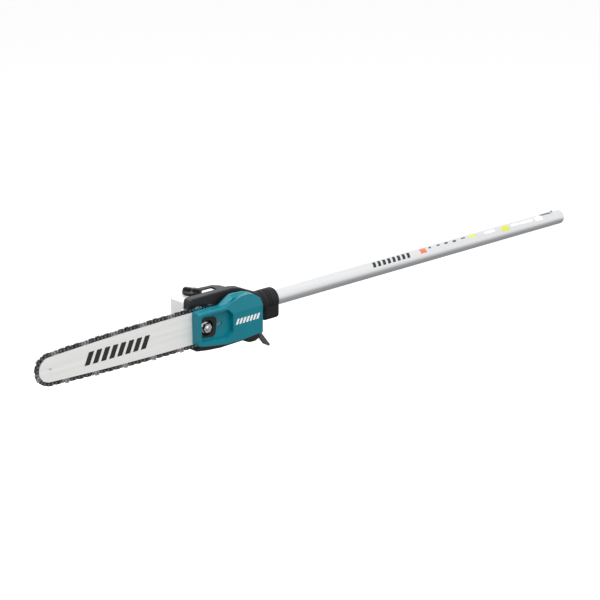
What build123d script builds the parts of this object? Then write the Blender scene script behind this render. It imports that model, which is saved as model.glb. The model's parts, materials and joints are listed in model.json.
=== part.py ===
from build123d import *
import math
import os

# Pole saw attachment: a quick-coupling pole with a bevel-geared chainsaw head.
# Millimetres.  X runs along the pole, the origin is the centre of the pole's coupling end face
# and the bar points to -X.  Z is up.  The sprocket side is -Y, the oil tank side is +Y.

# ---------------------------------------------------------------- driving sizes
pole_length = 748.0          # coupling end face to the end seated in the gear case
bar_reach = 337.0            # spindle axis to the bar's nose centre
bar_height = 50.0            # at its widest, beside the sprocket cover
nose_radius = 18.3           # bar nose, without the chain
head_face_y = -42.0          # outer face of the sprocket cover
tank_far_y = 54.0            # outer face of the oil tank

# Clearances
running = 0.05               # shaft in a bore, radial
seat = 0.1                   # pieces that are fastened together and only touch
apart = 0.3                  # curved faces on moving pieces

# Pole
tube_radius = 12.7
tube_wall = 1.7
tube_inner = tube_radius - tube_wall
shaft_radius = 4.0
shaft_stand_out = 6.6        # drive shaft past the coupling end
spline_length = 18.0
spline_count = 7
bushing_length = 14.0
bushing_count = 5
button_slot_x = (-55.0, -27.0)
button_slot_width = 8.0
locating_pin_x = -22.5
locating_pin_radius = 2.0
locating_pin_height = 3.0
seat_mark_x = (-18.6, -18.0)  # groove that marks how far the coupling takes the pole
seat_mark_depth = 0.35

# Places that the head is built from
spindle_to_tube = 39.0       # spindle axis to the pole's inner end
spindle_x = -pole_length - spindle_to_tube
tube_front_x = -pole_length
nose_x = spindle_x - bar_reach
bar_y = -22.0                # middle plane of the bar and chain
bar_z = -2.0                 # centre line of the bar
stud_x = spindle_x - 70.0
tension_x = spindle_x - 45.0
bar_tail_x = spindle_x - 33.0

# Guide bar
bar_thickness = 4.1
rail_groove_width = 1.6
rail_groove_depth = 7.5
bar_slot_width = 8.6
bar_slot_x = (stud_x - 16.0, tension_x + 6.0)
tail_taper = 12.0            # degrees, behind the widest place
tail_corner = 9.0
widest_back = 77.0           # widest place ahead of the spindle axis
bar_travel = 6.0             # slackening travel towards the spindle
adjuster_hole_radius = 2.6
adjuster_hole_x = stud_x - 4.0
adjuster_hole_rise = 13.0

# Chain, quarter inch pitch
chain_pitch = 6.35           # rivet to rivet
pitch_height = 3.2           # rivet line above the rail
strap_half = 2.7
strap_thickness = 1.0
link_thickness = 1.3
link_to_strap = 0.05
rivet_radius = 1.1
rivet_head_radius = 1.7
rivet_head = 0.35
tang_depth = 7.2             # below the rivet line
cutter_top = 3.8             # above the rivet line
sprocket_teeth = 8
nose_teeth = 10

# Nose wheel between the bar's side plates
nose_hub_radius = 1.6
nose_race_radius = 6.5
nose_rivet_radius = 1.1
nose_rivet_circle = 4.0
nose_window_radius = nose_radius - 1.5
nose_tip_radius = nose_radius + pitch_height - tang_depth - 2 * apart

# Bevel gears
bevel_module = 1.25
pinion_teeth = 12
gear_teeth = 18
bevel_face = 5.0
pump_module = 0.8
pump_drive_teeth = 14
pump_teeth = 20
adjuster_module = 0.7
adjuster_teeth = 12
tension_lead = 0.8           # slider travel for one turn of the rod

# Bearings: bore radius, outer radius, width
spindle_bearing = (5.0, 13.0, 8.0)
small_bearing = (4.0, 11.0, 7.0)
ball_share = 0.27            # ball radius as a share of the ring-to-ring height

# Head planes along Y
backing_thickness = 1.5
guide_plate_thickness = 1.0
slide_gap = 0.1
pad_y = bar_y + bar_thickness / 2 + slide_gap + backing_thickness
cover_seat_y = bar_y - bar_thickness / 2 - slide_gap - guide_plate_thickness
pad_thickness = 6.0
case_far_y = 22.0
case_cap_thickness = 3.0
pump_gear_y = (case_far_y + case_cap_thickness + 0.6, case_far_y + case_cap_thickness + 3.6)

# Oil tank
tank_near_y = 12.0
tank_x = (spindle_x - 74.0, spindle_x - 29.0)
tank_z = (-34.0, 27.0)
tank_wall = 2.0
tank_corner = 13.0
shelf_x_end = spindle_x - 1.0   # part of the tank that lies over the side housing
shelf_far_y = 37.0
shelf_low_z = 18.0
neck_x = spindle_x - 45.0
neck_y = 30.0
neck_radius = 12.5
neck_wall = 2.0
neck_height = 2.5
cap_radius = 15.0
cap_height = 4.0
cap_wing_height = 4.0
gasket_thickness = 1.0

# Black housings and hook
arch_y = (-17.6, -3.0)
arch_low_z = 22.4
housing_far_y = 47.5
shell_wall = 2.5
hook_thickness = 3.5
hook_width = 15.0
screw_radius = 2.0
screw_head_radius = 3.8
screw_head_height = 2.4

# Drive line places
pinion_bearing_x = ((spindle_x + 15.0, spindle_x + 22.0), (spindle_x + 30.0, spindle_x + 37.0))
retaining_x = (spindle_x + 37.2, spindle_x + 38.4)
retaining_groove_radius = 12.0
socket_x = (tube_front_x + 1.5, tube_front_x + 22.0)
socket_radius = 6.5
square_half = 2.8
near_bearing_y = (pad_y + 0.2, pad_y + 8.2)
far_bearing_y = (14.2, 21.2)
gear_space_radius = 14.5
bevel_hub = 5.2
spindle_tip_y = bar_y - 7.5
sprocket_bore = 4.5
sprocket_half = 3.2
sprocket_y = (bar_y - sprocket_half, bar_y + sprocket_half)
sprocket_hub_radius = 8.3
sprocket_rim_radius = 12.9
clip_y = (bar_y - 5.6, bar_y - 4.4)
clip_groove_radius = 3.6

# Oil pump beside the spindle's far end
pump_x = spindle_x - pump_module * (pump_drive_teeth + pump_teeth) / 2
pump_body_y = (pump_gear_y[1] + 0.4, 44.0)
pump_radius = 9.0
pump_leg_radius = 2.6
pump_leg_z = 11.7
pump_screw_radius = 1.3
plunger_radius = 2.5
outlet_radius = 2.0
outlet_y = 38.0
outlet_z = -22.0
hose_radius = 2.5
hose_y = 36.0
hose_z = 0.0
hose_start_x = spindle_x - 51.0
hose_turn_x = spindle_x - 38.0
hose_end_x = pump_x - pump_radius + 2.5
filter_radius = 6.0

# Gear case
case_radius = 20.0
barrel_radius = 15.4
pad_x = (stud_x - 21.0, spindle_x - 8.0)
pad_z = (-25.0, 22.0)
stud_radius = 4.0
stud_depth = 13.0
clamp_x = (tube_front_x, tube_front_x + 46.0)
clamp_bolt_x = (tube_front_x + 29.5, tube_front_x + 40.5)
clamp_bolt_z = -19.8
clamp_bolt_radius = 2.5
ear_half = 10.0
ear_x = (tube_front_x + 23.0, clamp_x[1])
ear_low_z = -25.0
case_cap_screw_radius = 1.5
cap_ear_radius = 4.5         # round each oil pump screw
cap_lug_radius = 5.0         # round each side housing screw
case_cap_screw_places = [(spindle_x + 17.4 * math.cos(math.radians(angle)), 17.4 * math.sin(math.radians(angle)))
                         for angle in (15, 100, -100, -15)]
side_screw_places = [(spindle_x + 20.0, side * 16.0) for side in (1, -1)]
pump_ear_places = [(pump_x, side * pump_leg_z) for side in (1, -1)]
tank_post_radius = 6.0
tank_boss = 10.0
tank_screw_places = [(tank_x[0] + 8.0, 14.0), (tank_x[1] - 8.0, 14.0), (tank_x[0] + 14.0, -24.3)]
housing_screw_places = [(spindle_x - 75.0, 30.0), (spindle_x + 19.0, 25.0)]
guard_boss_places = [(tension_x - 3.0, -9.0, -30.0), (spindle_x + 22.0, 0.0, -30.0)]
guard_screw_z = -39.8
hook_boss_x = (spindle_x + 31.0, spindle_x + 45.0)
hook_z = -32.5
hook_tip = (spindle_x + 76.5, -73.0)
hook_screw_places = [(spindle_x + 37.0, side * 3.8) for side in (1, -1)]
guard_y = (-26.5, 10.0)

# Collar over the pole clamp
collar_radius = 18.0
collar_neck_x = tube_front_x + 10.0
collar_ring_x = (tube_front_x + 20.5, tube_front_x + 51.0)
collar_lobe_half = 17.0
collar_low_z = -28.0

# Bar clamp and tensioner
nut_seat_y = cover_seat_y - 4.0
well_floor_y = cover_seat_y - 2.5
well_radius = 12.0
stud_tip_y = nut_seat_y - 11.0
rod_y = pad_y + 4.75
rod_radius = 2.5
rod_end_x = tension_x + 30.5
pocket_back_y = rod_y + 5.0
adjuster_face = 2.2
tension_screw_radius = 2.8
tension_head_radius = 3.6
tension_tip_y = -33.0
arm_z = (bar_z - adjuster_hole_rise - 4.0, bar_z - adjuster_hole_rise + 4.0)
arm_y = (pad_y + seat, pad_y + 2.2)
lug_x = (tension_x + 13.2, tension_x + 19.2)
lug_y = (pad_y + seat, rod_y + 3.2)
arm_x = (adjuster_hole_x - 5.0, lug_x[1])

# Sprocket cover
cover_rim_y = pad_y - 0.7
chamber_x = spindle_x - 22.0
panel_x = (spindle_x - 85.0, spindle_x - 24.5)
panel_y = head_face_y + 7.5
rim_y = cover_rim_y - 6.5
shoulder_y = cover_seat_y - 8.5
shoulder_slant = 5.0
crease_z = 11.5
lean_back = 7.0              # how far the hump's face leans back over lean_height
lean_height = 38.5

# Cap and side housing
plug_radius = 9.9
plug_length = 6.0
cap_turn = 25.0
side_housing_x = (spindle_x - 26.5, spindle_x + 37.0)
side_housing_low_z = -30.0


# ---------------------------------------------------------------- helpers
def along_x(radius, x_start, x_end, y=0.0, z=0.0):
    """Cylinder along X between two stations."""
    return Pos((x_start + x_end) / 2, y, z) * Rot(0, 90, 0) * Cylinder(radius, abs(x_end - x_start))


def along_y(radius, y_start, y_end, x=0.0, z=0.0):
    """Cylinder along Y between two stations."""
    return Pos(x, (y_start + y_end) / 2, z) * Rot(90, 0, 0) * Cylinder(radius, abs(y_end - y_start))


def along_z(radius, z_start, z_end, x=0.0, y=0.0):
    """Cylinder along Z between two stations."""
    return Pos(x, y, (z_start + z_end) / 2) * Cylinder(radius, abs(z_end - z_start))


def block(x, y, z):
    """Box from its (low, high) stations along the three axes."""
    middle = [(low + high) / 2 for low, high in (x, y, z)]
    size = [abs(high - low) for low, high in (x, y, z)]
    return Pos(*middle) * Box(*size)


def plate(face, y_low, y_high):
    """Thicken a face drawn in X and Z between two Y stations."""
    return Pos(0, y_high, 0) * Rot(90, 0, 0) * extrude(face, amount=y_high - y_low)


def outline(points, radius=0.0):
    """Closed face through points, with its corners rounded."""
    face = make_face(Polyline(*points, close=True))
    return fillet(face.vertices(), radius) if radius else face


def edges_facing(solid, axis, station, within=0.2):
    """Edges that lie in one plane across an axis."""
    return solid.edges().filter_by_position(axis, station - within, station + within)


def hexagon(across_flats):
    return RegularPolygon(radius=across_flats / 2, side_count=6, major_radius=False)


def save(name, *solids):
    """Write one node; several solids stay separate in it."""
    shape = solids[0] if len(solids) == 1 else Compound(children=list(solids))
    export_step(shape, f"parts/{name}.step")


def single(shape):
    """The one solid of a shape."""
    return shape.solid()


# ---------------------------------------------------------------- gears
def bevel_gear(teeth, mate_teeth, module, face_width, bore, hub_radius, hub_length):
    """Straight bevel gear, apex at the origin, opening along +Z, with a tooth centred on +X."""
    radius = module * teeth / 2
    height = module * mate_teeth / 2
    cone = math.atan2(radius, height)
    small = 1 - face_width / math.hypot(radius, height)
    rise, drop = 0.8 * module, 1.1 * module
    half = 0.40 * math.pi * module / 2
    slope = math.tan(math.radians(22))

    def at(offset):
        return radius + offset * math.cos(cone), height - offset * math.sin(cone)

    def section(scale):
        points = []
        for offset, side in ((-drop - 0.2 * module, 1), (rise, 1), (rise, -1), (-drop - 0.2 * module, -1)):
            across, up = at(offset)
            points.append(Vector(across, side * (half - offset * slope), up) * scale)
        return Face(Wire.make_polygon(points, close=True))

    tooth = loft([section(small), section(1.0)], ruled=True)
    root_out, root_up = at(-drop)
    profile = Polyline(
        (bore, root_up * small), (root_out * small, root_up * small), (root_out, root_up),
        (hub_radius, root_up), (hub_radius, root_up + hub_length), (bore, root_up + hub_length), close=True,
    )
    body = revolve(Plane.XZ * make_face(profile), Axis.Z)
    ring = [Rot(0, 0, 360 * index / teeth) * tooth for index in range(teeth)]
    return single(body + ring)


def spur_face(teeth, module):
    """Face of a spur gear with slim straight-flanked teeth, one centred on +X."""
    radius = module * teeth / 2
    root, tip = radius - 1.15 * module, radius + 0.8 * module
    root_half, tip_half = 0.30 * math.pi * module, 0.12 * math.pi * module
    tooth = make_face(Polyline(
        (root - 0.4, -root_half), (tip, -tip_half), (tip, tip_half), (root - 0.4, root_half), close=True,
    ))
    return Circle(root) + [Rot(0, 0, 360 * index / teeth) * tooth for index in range(teeth)]


# ---------------------------------------------------------------- chain path
class Turn:
    """Arc of the chain's pitch line, turned clockwise as seen from -Y."""

    def __init__(self, centre, radius, start, end):
        self.centre, self.radius, self.start = centre, radius, start
        self.length = radius * (start - end)

    def at(self, distance):
        angle = self.start - distance / self.radius
        return (self.centre[0] + self.radius * math.cos(angle), self.centre[1] + self.radius * math.sin(angle))


class Run:
    """Straight run of the chain's pitch line."""

    def __init__(self, start, end):
        self.start, self.end = start, end
        self.length = math.dist(start, end)

    def at(self, distance):
        share = distance / self.length
        return tuple(a + share * (b - a) for a, b in zip(self.start, self.end))


def edge_radius():
    """Radius of the bar's long edges, tangent to the nose and as high as the bar at its widest."""
    reach = bar_reach - widest_back
    rise = bar_height / 2 - nose_radius
    return (reach ** 2 + rise ** 2) / (2 * rise) + nose_radius


def edge_centre(side):
    """Centre of the long arc of one edge; side is +1 for the top and -1 for the bottom."""
    return (spindle_x - widest_back, bar_z + side * (bar_height / 2 - edge_radius()))


def chain_path():
    """Pitch line from the spindle's top, clockwise seen from -Y: sprocket, bottom, nose and top."""
    radius = chain_pitch / (2 * math.sin(math.pi / (2 * sprocket_teeth)))
    guide = 60.0 + pitch_height
    long = edge_radius() + pitch_height
    nose = nose_radius + pitch_height
    hub = (spindle_x, 0.0)
    nose_centre = (nose_x, bar_z)
    guides = {side: (spindle_x - widest_back, bar_z + side * (bar_height / 2 - 60.0)) for side in (1, -1)}

    def tangent_angle(side):
        """Direction of the normal where the straight run touches the guide arc and the sprocket."""
        run = math.dist(guides[side], hub)
        slope = math.atan2(hub[1] - guides[side][1], hub[0] - guides[side][0])
        return slope + side * math.acos((guide - radius) / run)

    def on(centre, size, angle):
        return (centre[0] + size * math.cos(angle), centre[1] + size * math.sin(angle))

    top, bottom = tangent_angle(1), tangent_angle(-1)
    nose_top = math.atan2(bar_z - edge_centre(1)[1], nose_x - edge_centre(1)[0])
    nose_bottom = math.atan2(bar_z - edge_centre(-1)[1], nose_x - edge_centre(-1)[0])
    return [
        Turn(hub, radius, top, bottom),
        Run(on(hub, radius, bottom), on(guides[-1], guide, bottom)),
        Turn(guides[-1], guide, bottom, -math.pi / 2),
        Turn(edge_centre(-1), long, -math.pi / 2, nose_bottom),
        Turn(nose_centre, nose, nose_bottom, nose_top - 2 * math.pi),
        Turn(edge_centre(1), long, nose_top, math.pi / 2),
        Turn(guides[1], guide, math.pi / 2, top),
        Run(on(guides[1], guide, top), on(hub, radius, top)),
    ]


def on_path(path, distance):
    """Point at a distance along the closed pitch line."""
    distance %= sum(piece.length for piece in path)
    for piece in path:
        if distance <= piece.length:
            return piece.at(distance)
        distance -= piece.length
    return path[-1].at(path[-1].length)


def rivet_places():
    """Rivet centres round the loop, all the same straight distance apart, and that distance."""
    path = chain_path()
    total = sum(piece.length for piece in path)
    count = 2 * round(total / (2 * chain_pitch))

    def walk(pitch):
        places, travelled = [on_path(path, 0)], 0.0
        for _ in range(count):
            low, high = travelled + 0.5 * pitch, travelled + 1.5 * pitch
            for _ in range(30):
                middle = (low + high) / 2
                if math.dist(places[-1], on_path(path, middle)) < pitch:
                    low = middle
                else:
                    high = middle
            travelled = low
            places.append(on_path(path, travelled))
        return places, travelled

    low, high = 0.9 * total / count, 1.1 * total / count
    for _ in range(40):
        middle = (low + high) / 2
        if walk(middle)[1] < total:
            low = middle
        else:
            high = middle
    return walk(low)[0][:count], low


def between(first, second):
    """Location midway between two rivets, its X along the chain's travel and its Y outwards."""
    angle = math.degrees(math.atan2(second[1] - first[1], second[0] - first[0]))
    return Pos((first[0] + second[0]) / 2, bar_y, (first[1] + second[1]) / 2) * Rot(90, 0, 0) * Rot(0, 0, angle)


def layer(face, low, high):
    """Thicken a chain plate between two stations across the chain."""
    return Pos(0, 0, low) * extrude(face, amount=high - low)


def make_chain():
    rivets, pitch = rivet_places()
    count = len(rivets)
    ends = [(-pitch / 2, 0), (pitch / 2, 0)]
    holes = [Pos(x, y) * Circle(rivet_radius + running) for x, y in ends]
    inner = link_thickness / 2 + link_to_strap
    outer = inner + strap_thickness

    oval = make_hull([edge for x, y in ends for edge in (Pos(x, y) * Circle(strap_half)).edges()])
    strap_face = oval - holes
    # Tangs point to the bar, the hooked corner leads
    tang = outline([(-pitch / 2 - 1.6, 1), (-1.2, -tang_depth), (0.4, -tang_depth), (pitch / 2 + 1.6, 1)])
    link_ends = [Pos(x, y) * Circle(strap_half - 0.4) for x, y in ends]
    link_face = tang + link_ends + Rectangle(pitch, 2 * strap_half - 0.8) - holes
    # The cutter's side plate carries a depth gauge ahead of the gullet and the top plate behind it
    body_long = strap_half + 0.8
    heel, front = -pitch / 2 - body_long, pitch / 2 + body_long
    cutter_face = outline([
        (heel, 0.0), (heel + 0.9, cutter_top - 1.0), (0.6, cutter_top - 0.4), (1.1, 1.2), (2.2, 0.9),
        (front - 2.4, cutter_top - 0.9), (front - 0.9, cutter_top - 1.3), (front, 0.4),
        (front - 1.6, -strap_half), (heel + 1.6, -strap_half),
    ]) - holes
    top_plate = outline([
        (heel + 0.9, cutter_top - 1.0), (heel + 0.9, cutter_top - 0.1), (0.9, cutter_top), (0.6, cutter_top - 0.9),
    ])

    strap = layer(strap_face, inner, outer)
    link = layer(link_face, -link_thickness / 2, link_thickness / 2)
    # A cutter's top plate reaches in over the drive links and out past its side plate
    cutter = single(layer(cutter_face, inner, outer) + layer(top_plate, 0.1, outer + 0.8))
    head = outer + rivet_head
    rivet = Cylinder(rivet_radius, 2 * head)
    rivet += [Pos(0, 0, side * (outer + rivet_head / 2)) * Cylinder(rivet_head_radius, rivet_head) for side in (1, -1)]
    rivet = single(rivet)

    flip = mirror(strap, Plane.XY), mirror(cutter, Plane.XY)
    links, straps, left, right = [], [], [], []
    for index in range(0, count, 2):
        first, second, third = (rivets[(index + step) % count] for step in range(3))
        links.append(between(first, second) * link)
        here = between(second, third)
        number = index // 2
        near, far = strap, flip[0]
        if number % 4 == 0:
            near = None
            left.append(here * cutter)
        elif number % 4 == 2:
            far = None
            right.append(here * flip[1])
        straps += [here * plate_copy for plate_copy in (near, far) if plate_copy is not None]
    pins = [Pos(x, bar_y, z) * Rot(90, 0, 0) * rivet for x, z in rivets]
    save("chain_drive_links", *[single(shape) for shape in links])
    save("chain_tie_straps", *[single(shape) for shape in straps])
    save("chain_left_cutters", *[single(shape) for shape in left])
    save("chain_right_cutters", *[single(shape) for shape in right])
    save("chain_rivets", *[single(shape) for shape in pins])


# ---------------------------------------------------------------- bar
def bar_outline():
    """Bar face in X and Z: nose arc, long edges, tapered tail."""
    long = edge_radius()
    top_x = spindle_x - widest_back
    half = bar_height / 2
    touch = math.atan2(bar_z - edge_centre(1)[1], nose_x - edge_centre(1)[0])
    touch_x = nose_x + nose_radius * math.cos(touch)
    touch_rise = nose_radius * math.sin(touch)
    middle = (touch + math.pi / 2) / 2
    middle_x = edge_centre(1)[0] + long * math.cos(middle)
    middle_rise = edge_centre(1)[1] + long * math.sin(middle) - bar_z
    tail_half = half - (bar_tail_x - top_x) * math.tan(math.radians(tail_taper))

    def edge(side):
        return [
            ThreePointArc((touch_x, bar_z + side * touch_rise), (middle_x, bar_z + side * middle_rise),
                          (top_x, bar_z + side * half)),
            Line((top_x, bar_z + side * half), (bar_tail_x, bar_z + side * tail_half)),
        ]

    nose = ThreePointArc((touch_x, bar_z + touch_rise), (nose_x - nose_radius, bar_z), (touch_x, bar_z - touch_rise))
    tail = Line((bar_tail_x, bar_z + tail_half), (bar_tail_x, bar_z - tail_half))
    face = make_face([nose, *edge(1), *edge(-1), tail])
    corners = face.vertices().filter_by_position(Axis.X, bar_tail_x - 0.1, bar_tail_x + 0.1)
    return fillet(corners, tail_corner)


def make_bar():
    face = bar_outline()
    slot_length = bar_slot_x[1] - bar_slot_x[0]
    slot = Pos(sum(bar_slot_x) / 2, bar_z) * SlotOverall(slot_length, bar_slot_width)
    holes = [Pos(adjuster_hole_x, bar_z + side * adjuster_hole_rise) * Circle(adjuster_hole_radius)
             for side in (1, -1)]
    hub_hole = Pos(nose_x, bar_z) * Circle(nose_hub_radius)
    core = offset(face, -rail_groove_depth) - Pos(nose_x, bar_z) * Circle(nose_window_radius)
    half, core_half = bar_thickness / 2, rail_groove_width / 2
    side_face = face - slot - holes - hub_hole - [Pos(x, z) * Circle(nose_rivet_radius) for x, z in nose_rivet_places()]
    bar = plate(core - slot - holes, bar_y - core_half, bar_y + core_half)
    bar += plate(side_face, bar_y - half, bar_y - core_half)
    bar += plate(side_face, bar_y + core_half, bar_y + half)
    save("guide_bar", single(bar))


def nose_rivet_places():
    """Rivets that hold the nose bearing's inner race between the bar's side plates."""
    angles = [math.radians(angle) for angle in range(45, 405, 90)]
    return [(nose_x + nose_rivet_circle * math.cos(angle), bar_z + nose_rivet_circle * math.sin(angle))
            for angle in angles]


def make_nose():
    half = rail_groove_width / 2 - running
    race = Circle(nose_race_radius) - Circle(nose_hub_radius)
    race -= [Pos(x - nose_x, z - bar_z) * Circle(nose_rivet_radius + seat / 2) for x, z in nose_rivet_places()]
    save("nose_bearing_race", single(plate(Pos(nose_x, bar_z) * race, bar_y - half, bar_y + half)))
    wheel = Circle(nose_tip_radius - 3.2)
    tooth = make_face(Polyline((nose_race_radius + 1, -2.4), (nose_tip_radius, -0.7), (nose_tip_radius, 0.7),
                               (nose_race_radius + 1, 2.4), close=True))
    wheel += [Rot(0, 0, 360 * index / nose_teeth) * tooth for index in range(nose_teeth)]
    wheel -= Circle(nose_race_radius + running)
    save("nose_sprocket", single(plate(Pos(nose_x, bar_z) * wheel, bar_y - half, bar_y + half)))
    head = bar_thickness / 2
    pins = []
    for x, z in nose_rivet_places():
        pin = along_y(nose_rivet_radius - seat / 2, bar_y - head - 0.3, bar_y + head + 0.3, x, z)
        pin += [along_y(1.5, bar_y + side * head, bar_y + side * (head + 0.3), x, z) for side in (1, -1)]
        pins.append(single(pin))
    save("nose_rivets", *pins)


# ---------------------------------------------------------------- pole and drive
def make_pole():
    tube = along_x(tube_radius, tube_front_x, 0) - along_x(tube_inner, tube_front_x - 1, 1)
    half = button_slot_width / 2
    tube -= block((button_slot_x[0] + half, button_slot_x[1] - half), (-half, half), (0, tube_radius + 1))
    tube -= [along_z(half, 0, tube_radius + 1, x, 0) for x in (button_slot_x[0] + half, button_slot_x[1] - half)]
    tube -= along_z(locating_pin_radius + running, 0, tube_radius + 1, locating_pin_x, 0)
    mark_low, mark_high = seat_mark_x
    tube -= along_x(tube_radius + 1, mark_low, mark_high) - along_x(
        tube_radius - seat_mark_depth, mark_low - 1, mark_high + 1)
    save("pole_tube", single(tube))

    pin = along_z(locating_pin_radius, tube_inner - 1.5, tube_radius + locating_pin_height, locating_pin_x, 0)
    pin = fillet(edges_facing(pin, Axis.Z, tube_radius + locating_pin_height), 0.8)
    foot_top = math.sqrt(tube_inner ** 2 - (locating_pin_radius + 1.0) ** 2) - seat
    pin += along_z(locating_pin_radius + 1.0, tube_inner - 2.5, foot_top, locating_pin_x, 0)
    save("locating_pin", single(pin))

    first, last = tube_front_x + 70.0, button_slot_x[0] - 40.0
    step = (last - first) / (bushing_count - 1)
    bushings = []
    for index in range(bushing_count):
        x = first + step * index
        bushing = along_x(tube_inner - seat / 2, x, x + bushing_length)
        bushing -= along_x(tube_inner, x + bushing_length / 3, x + 2 * bushing_length / 3) - along_x(
            tube_inner - 1.5, x, x + bushing_length)
        bushings.append(single(bushing - along_x(shaft_radius + running, x - 1, x + bushing_length + 1)))
    save("shaft_bushings", *bushings)


def make_drive_shaft():
    spline_start = shaft_stand_out - spline_length
    shaft = along_x(shaft_radius, socket_x[1] + 0.5, spline_start)
    shaft += block((socket_x[0] + 2.5, socket_x[1] + 1.5), (-square_half, square_half), (-square_half, square_half))
    shaft += along_x(shaft_radius - 0.8, spline_start - 1, shaft_stand_out)
    rib = block((spline_start - 1, shaft_stand_out), (-0.7, 0.7), (0, shaft_radius - 0.08))
    shaft += [Rot(360 * index / spline_count, 0, 0) * rib for index in range(spline_count)]
    save("drive_shaft", single(shaft))


def make_pinion():
    gear = bevel_gear(pinion_teeth, gear_teeth, bevel_module, bevel_face, 0, 6.0, 2.0)
    pinion = Pos(spindle_x, 0, 0) * Rot(0, 90, 0) * gear
    pinion += along_x(small_bearing[0] - seat / 2, spindle_x + 12, socket_x[0] + 0.5)
    pinion += along_x(socket_radius, *socket_x)
    hole = square_half + running
    pinion -= block((socket_x[0] + 2, socket_x[1] + 1), (-hole, hole), (-hole, hole))
    save("bevel_pinion", single(pinion))


def bearing(sizes):
    """Inner ring, outer ring and balls of a ball bearing, centred, its axis along Z."""
    bore, outside, width = sizes
    middle = (bore + outside) / 2
    ball = ball_share * (outside - bore)
    wall = 0.3 * (outside - bore)
    groove = Torus(middle, ball + running)
    inner = Cylinder(bore + wall, width) - Cylinder(bore, width + 1) - groove
    outer = Cylinder(outside, width) - Cylinder(outside - wall, width + 1) - groove
    count = int(2 * math.pi * middle / (2.5 * ball))
    balls = [Rot(0, 0, 360 * index / count) * Pos(middle, 0, 0) * Sphere(ball) for index in range(count)]
    return single(inner), single(outer), balls


def make_bearings():
    """The two pairs of ball bearings; their balls share a node."""
    small, large = bearing(small_bearing), bearing(spindle_bearing)
    pinion_places = [Pos(sum(span) / 2, 0, 0) * Rot(0, 90, 0) for span in pinion_bearing_x]
    near = Pos(spindle_x, sum(near_bearing_y) / 2, 0) * Rot(90, 0, 0)
    far = Pos(spindle_x, sum(far_bearing_y) / 2, 0) * Rot(90, 0, 0)
    seats = [(place, small) for place in (*pinion_places, far)] + [(near, large)]
    save("pinion_bearing_inner_rings", *[single(place * small[0]) for place in pinion_places])
    save("spindle_bearing_inner_rings", single(near * large[0]), single(far * small[0]))
    save("bearing_outer_rings", *[single(place * parts[1]) for place, parts in seats])
    save("bearing_balls", *[single(place * ball) for place, parts in seats for ball in parts[2]])
    ring = along_x(retaining_groove_radius - seat, retaining_x[0] + running, retaining_x[1] - running)
    ring -= along_x(small_bearing[1] - 2.0, retaining_x[0] - 1, retaining_x[1] + 1)
    ring -= block((retaining_x[0] - 1, retaining_x[1] + 1), (-2.5, 2.5), (-20, 0))
    save("retaining_ring", single(ring))


def make_spindle():
    wide, slim = spindle_bearing[0] - seat / 2, small_bearing[0] - seat / 2
    spindle = along_y(sprocket_bore - seat / 2, spindle_tip_y, near_bearing_y[0], spindle_x)
    spindle += along_y(wide, near_bearing_y[0], far_bearing_y[0] - 0.3, spindle_x)
    spindle += along_y(slim, far_bearing_y[0] - 0.3, pump_gear_y[1], spindle_x)
    clip_low, clip_high = clip_y
    spindle -= along_y(sprocket_bore + 1, clip_low, clip_high, spindle_x) - along_y(
        clip_groove_radius, clip_low - 1, clip_high + 1, spindle_x)
    spindle = chamfer(edges_facing(spindle, Axis.Y, spindle_tip_y), 0.6)
    save("spindle", single(spindle))

    gear = bevel_gear(gear_teeth, pinion_teeth, bevel_module, bevel_face, spindle_bearing[0], 8.5, bevel_hub)
    gear = Pos(spindle_x, 0, 0) * Rot(-90, 0, 0) * Rot(0, 0, 180 / gear_teeth) * gear
    save("bevel_gear", single(gear))

    slot_half = link_thickness / 2 + link_to_strap + apart
    sprocket = along_y(sprocket_hub_radius, *sprocket_y, spindle_x)
    sprocket += [along_y(sprocket_rim_radius, bar_y + side * slot_half, bar_y + side * sprocket_half, spindle_x)
                 for side in (1, -1)]
    sprocket -= along_y(sprocket_bore, sprocket_y[0] - 1, sprocket_y[1] + 1, spindle_x)
    for index in range(sprocket_teeth):
        angle = math.radians(360 * (index + 0.5) / sprocket_teeth)
        x = spindle_x + (sprocket_rim_radius + 1.2) * math.cos(angle)
        z = (sprocket_rim_radius + 1.2) * math.sin(angle)
        sprocket -= along_y(2.4, sprocket_y[0] - 1, sprocket_y[1] + 1, x, z)
    save("drive_sprocket", single(sprocket))

    washer = along_y(8.5, clip_y[1] + running, sprocket_y[0], spindle_x)
    save("sprocket_washer", single(washer - along_y(sprocket_bore, clip_y[0], sprocket_y[0] + 1, spindle_x)))
    clip = along_y(6.6, clip_y[0] + running, clip_y[1] - running, spindle_x)
    clip -= along_y(clip_groove_radius + running, clip_y[0] - 1, clip_y[1] + 1, spindle_x)
    mouth = clip_groove_radius - 0.8
    clip -= block((spindle_x - mouth, spindle_x + mouth), (clip_y[0] - 1, clip_y[1] + 1), (-12, 0))
    save("sprocket_clip", single(clip))


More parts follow.
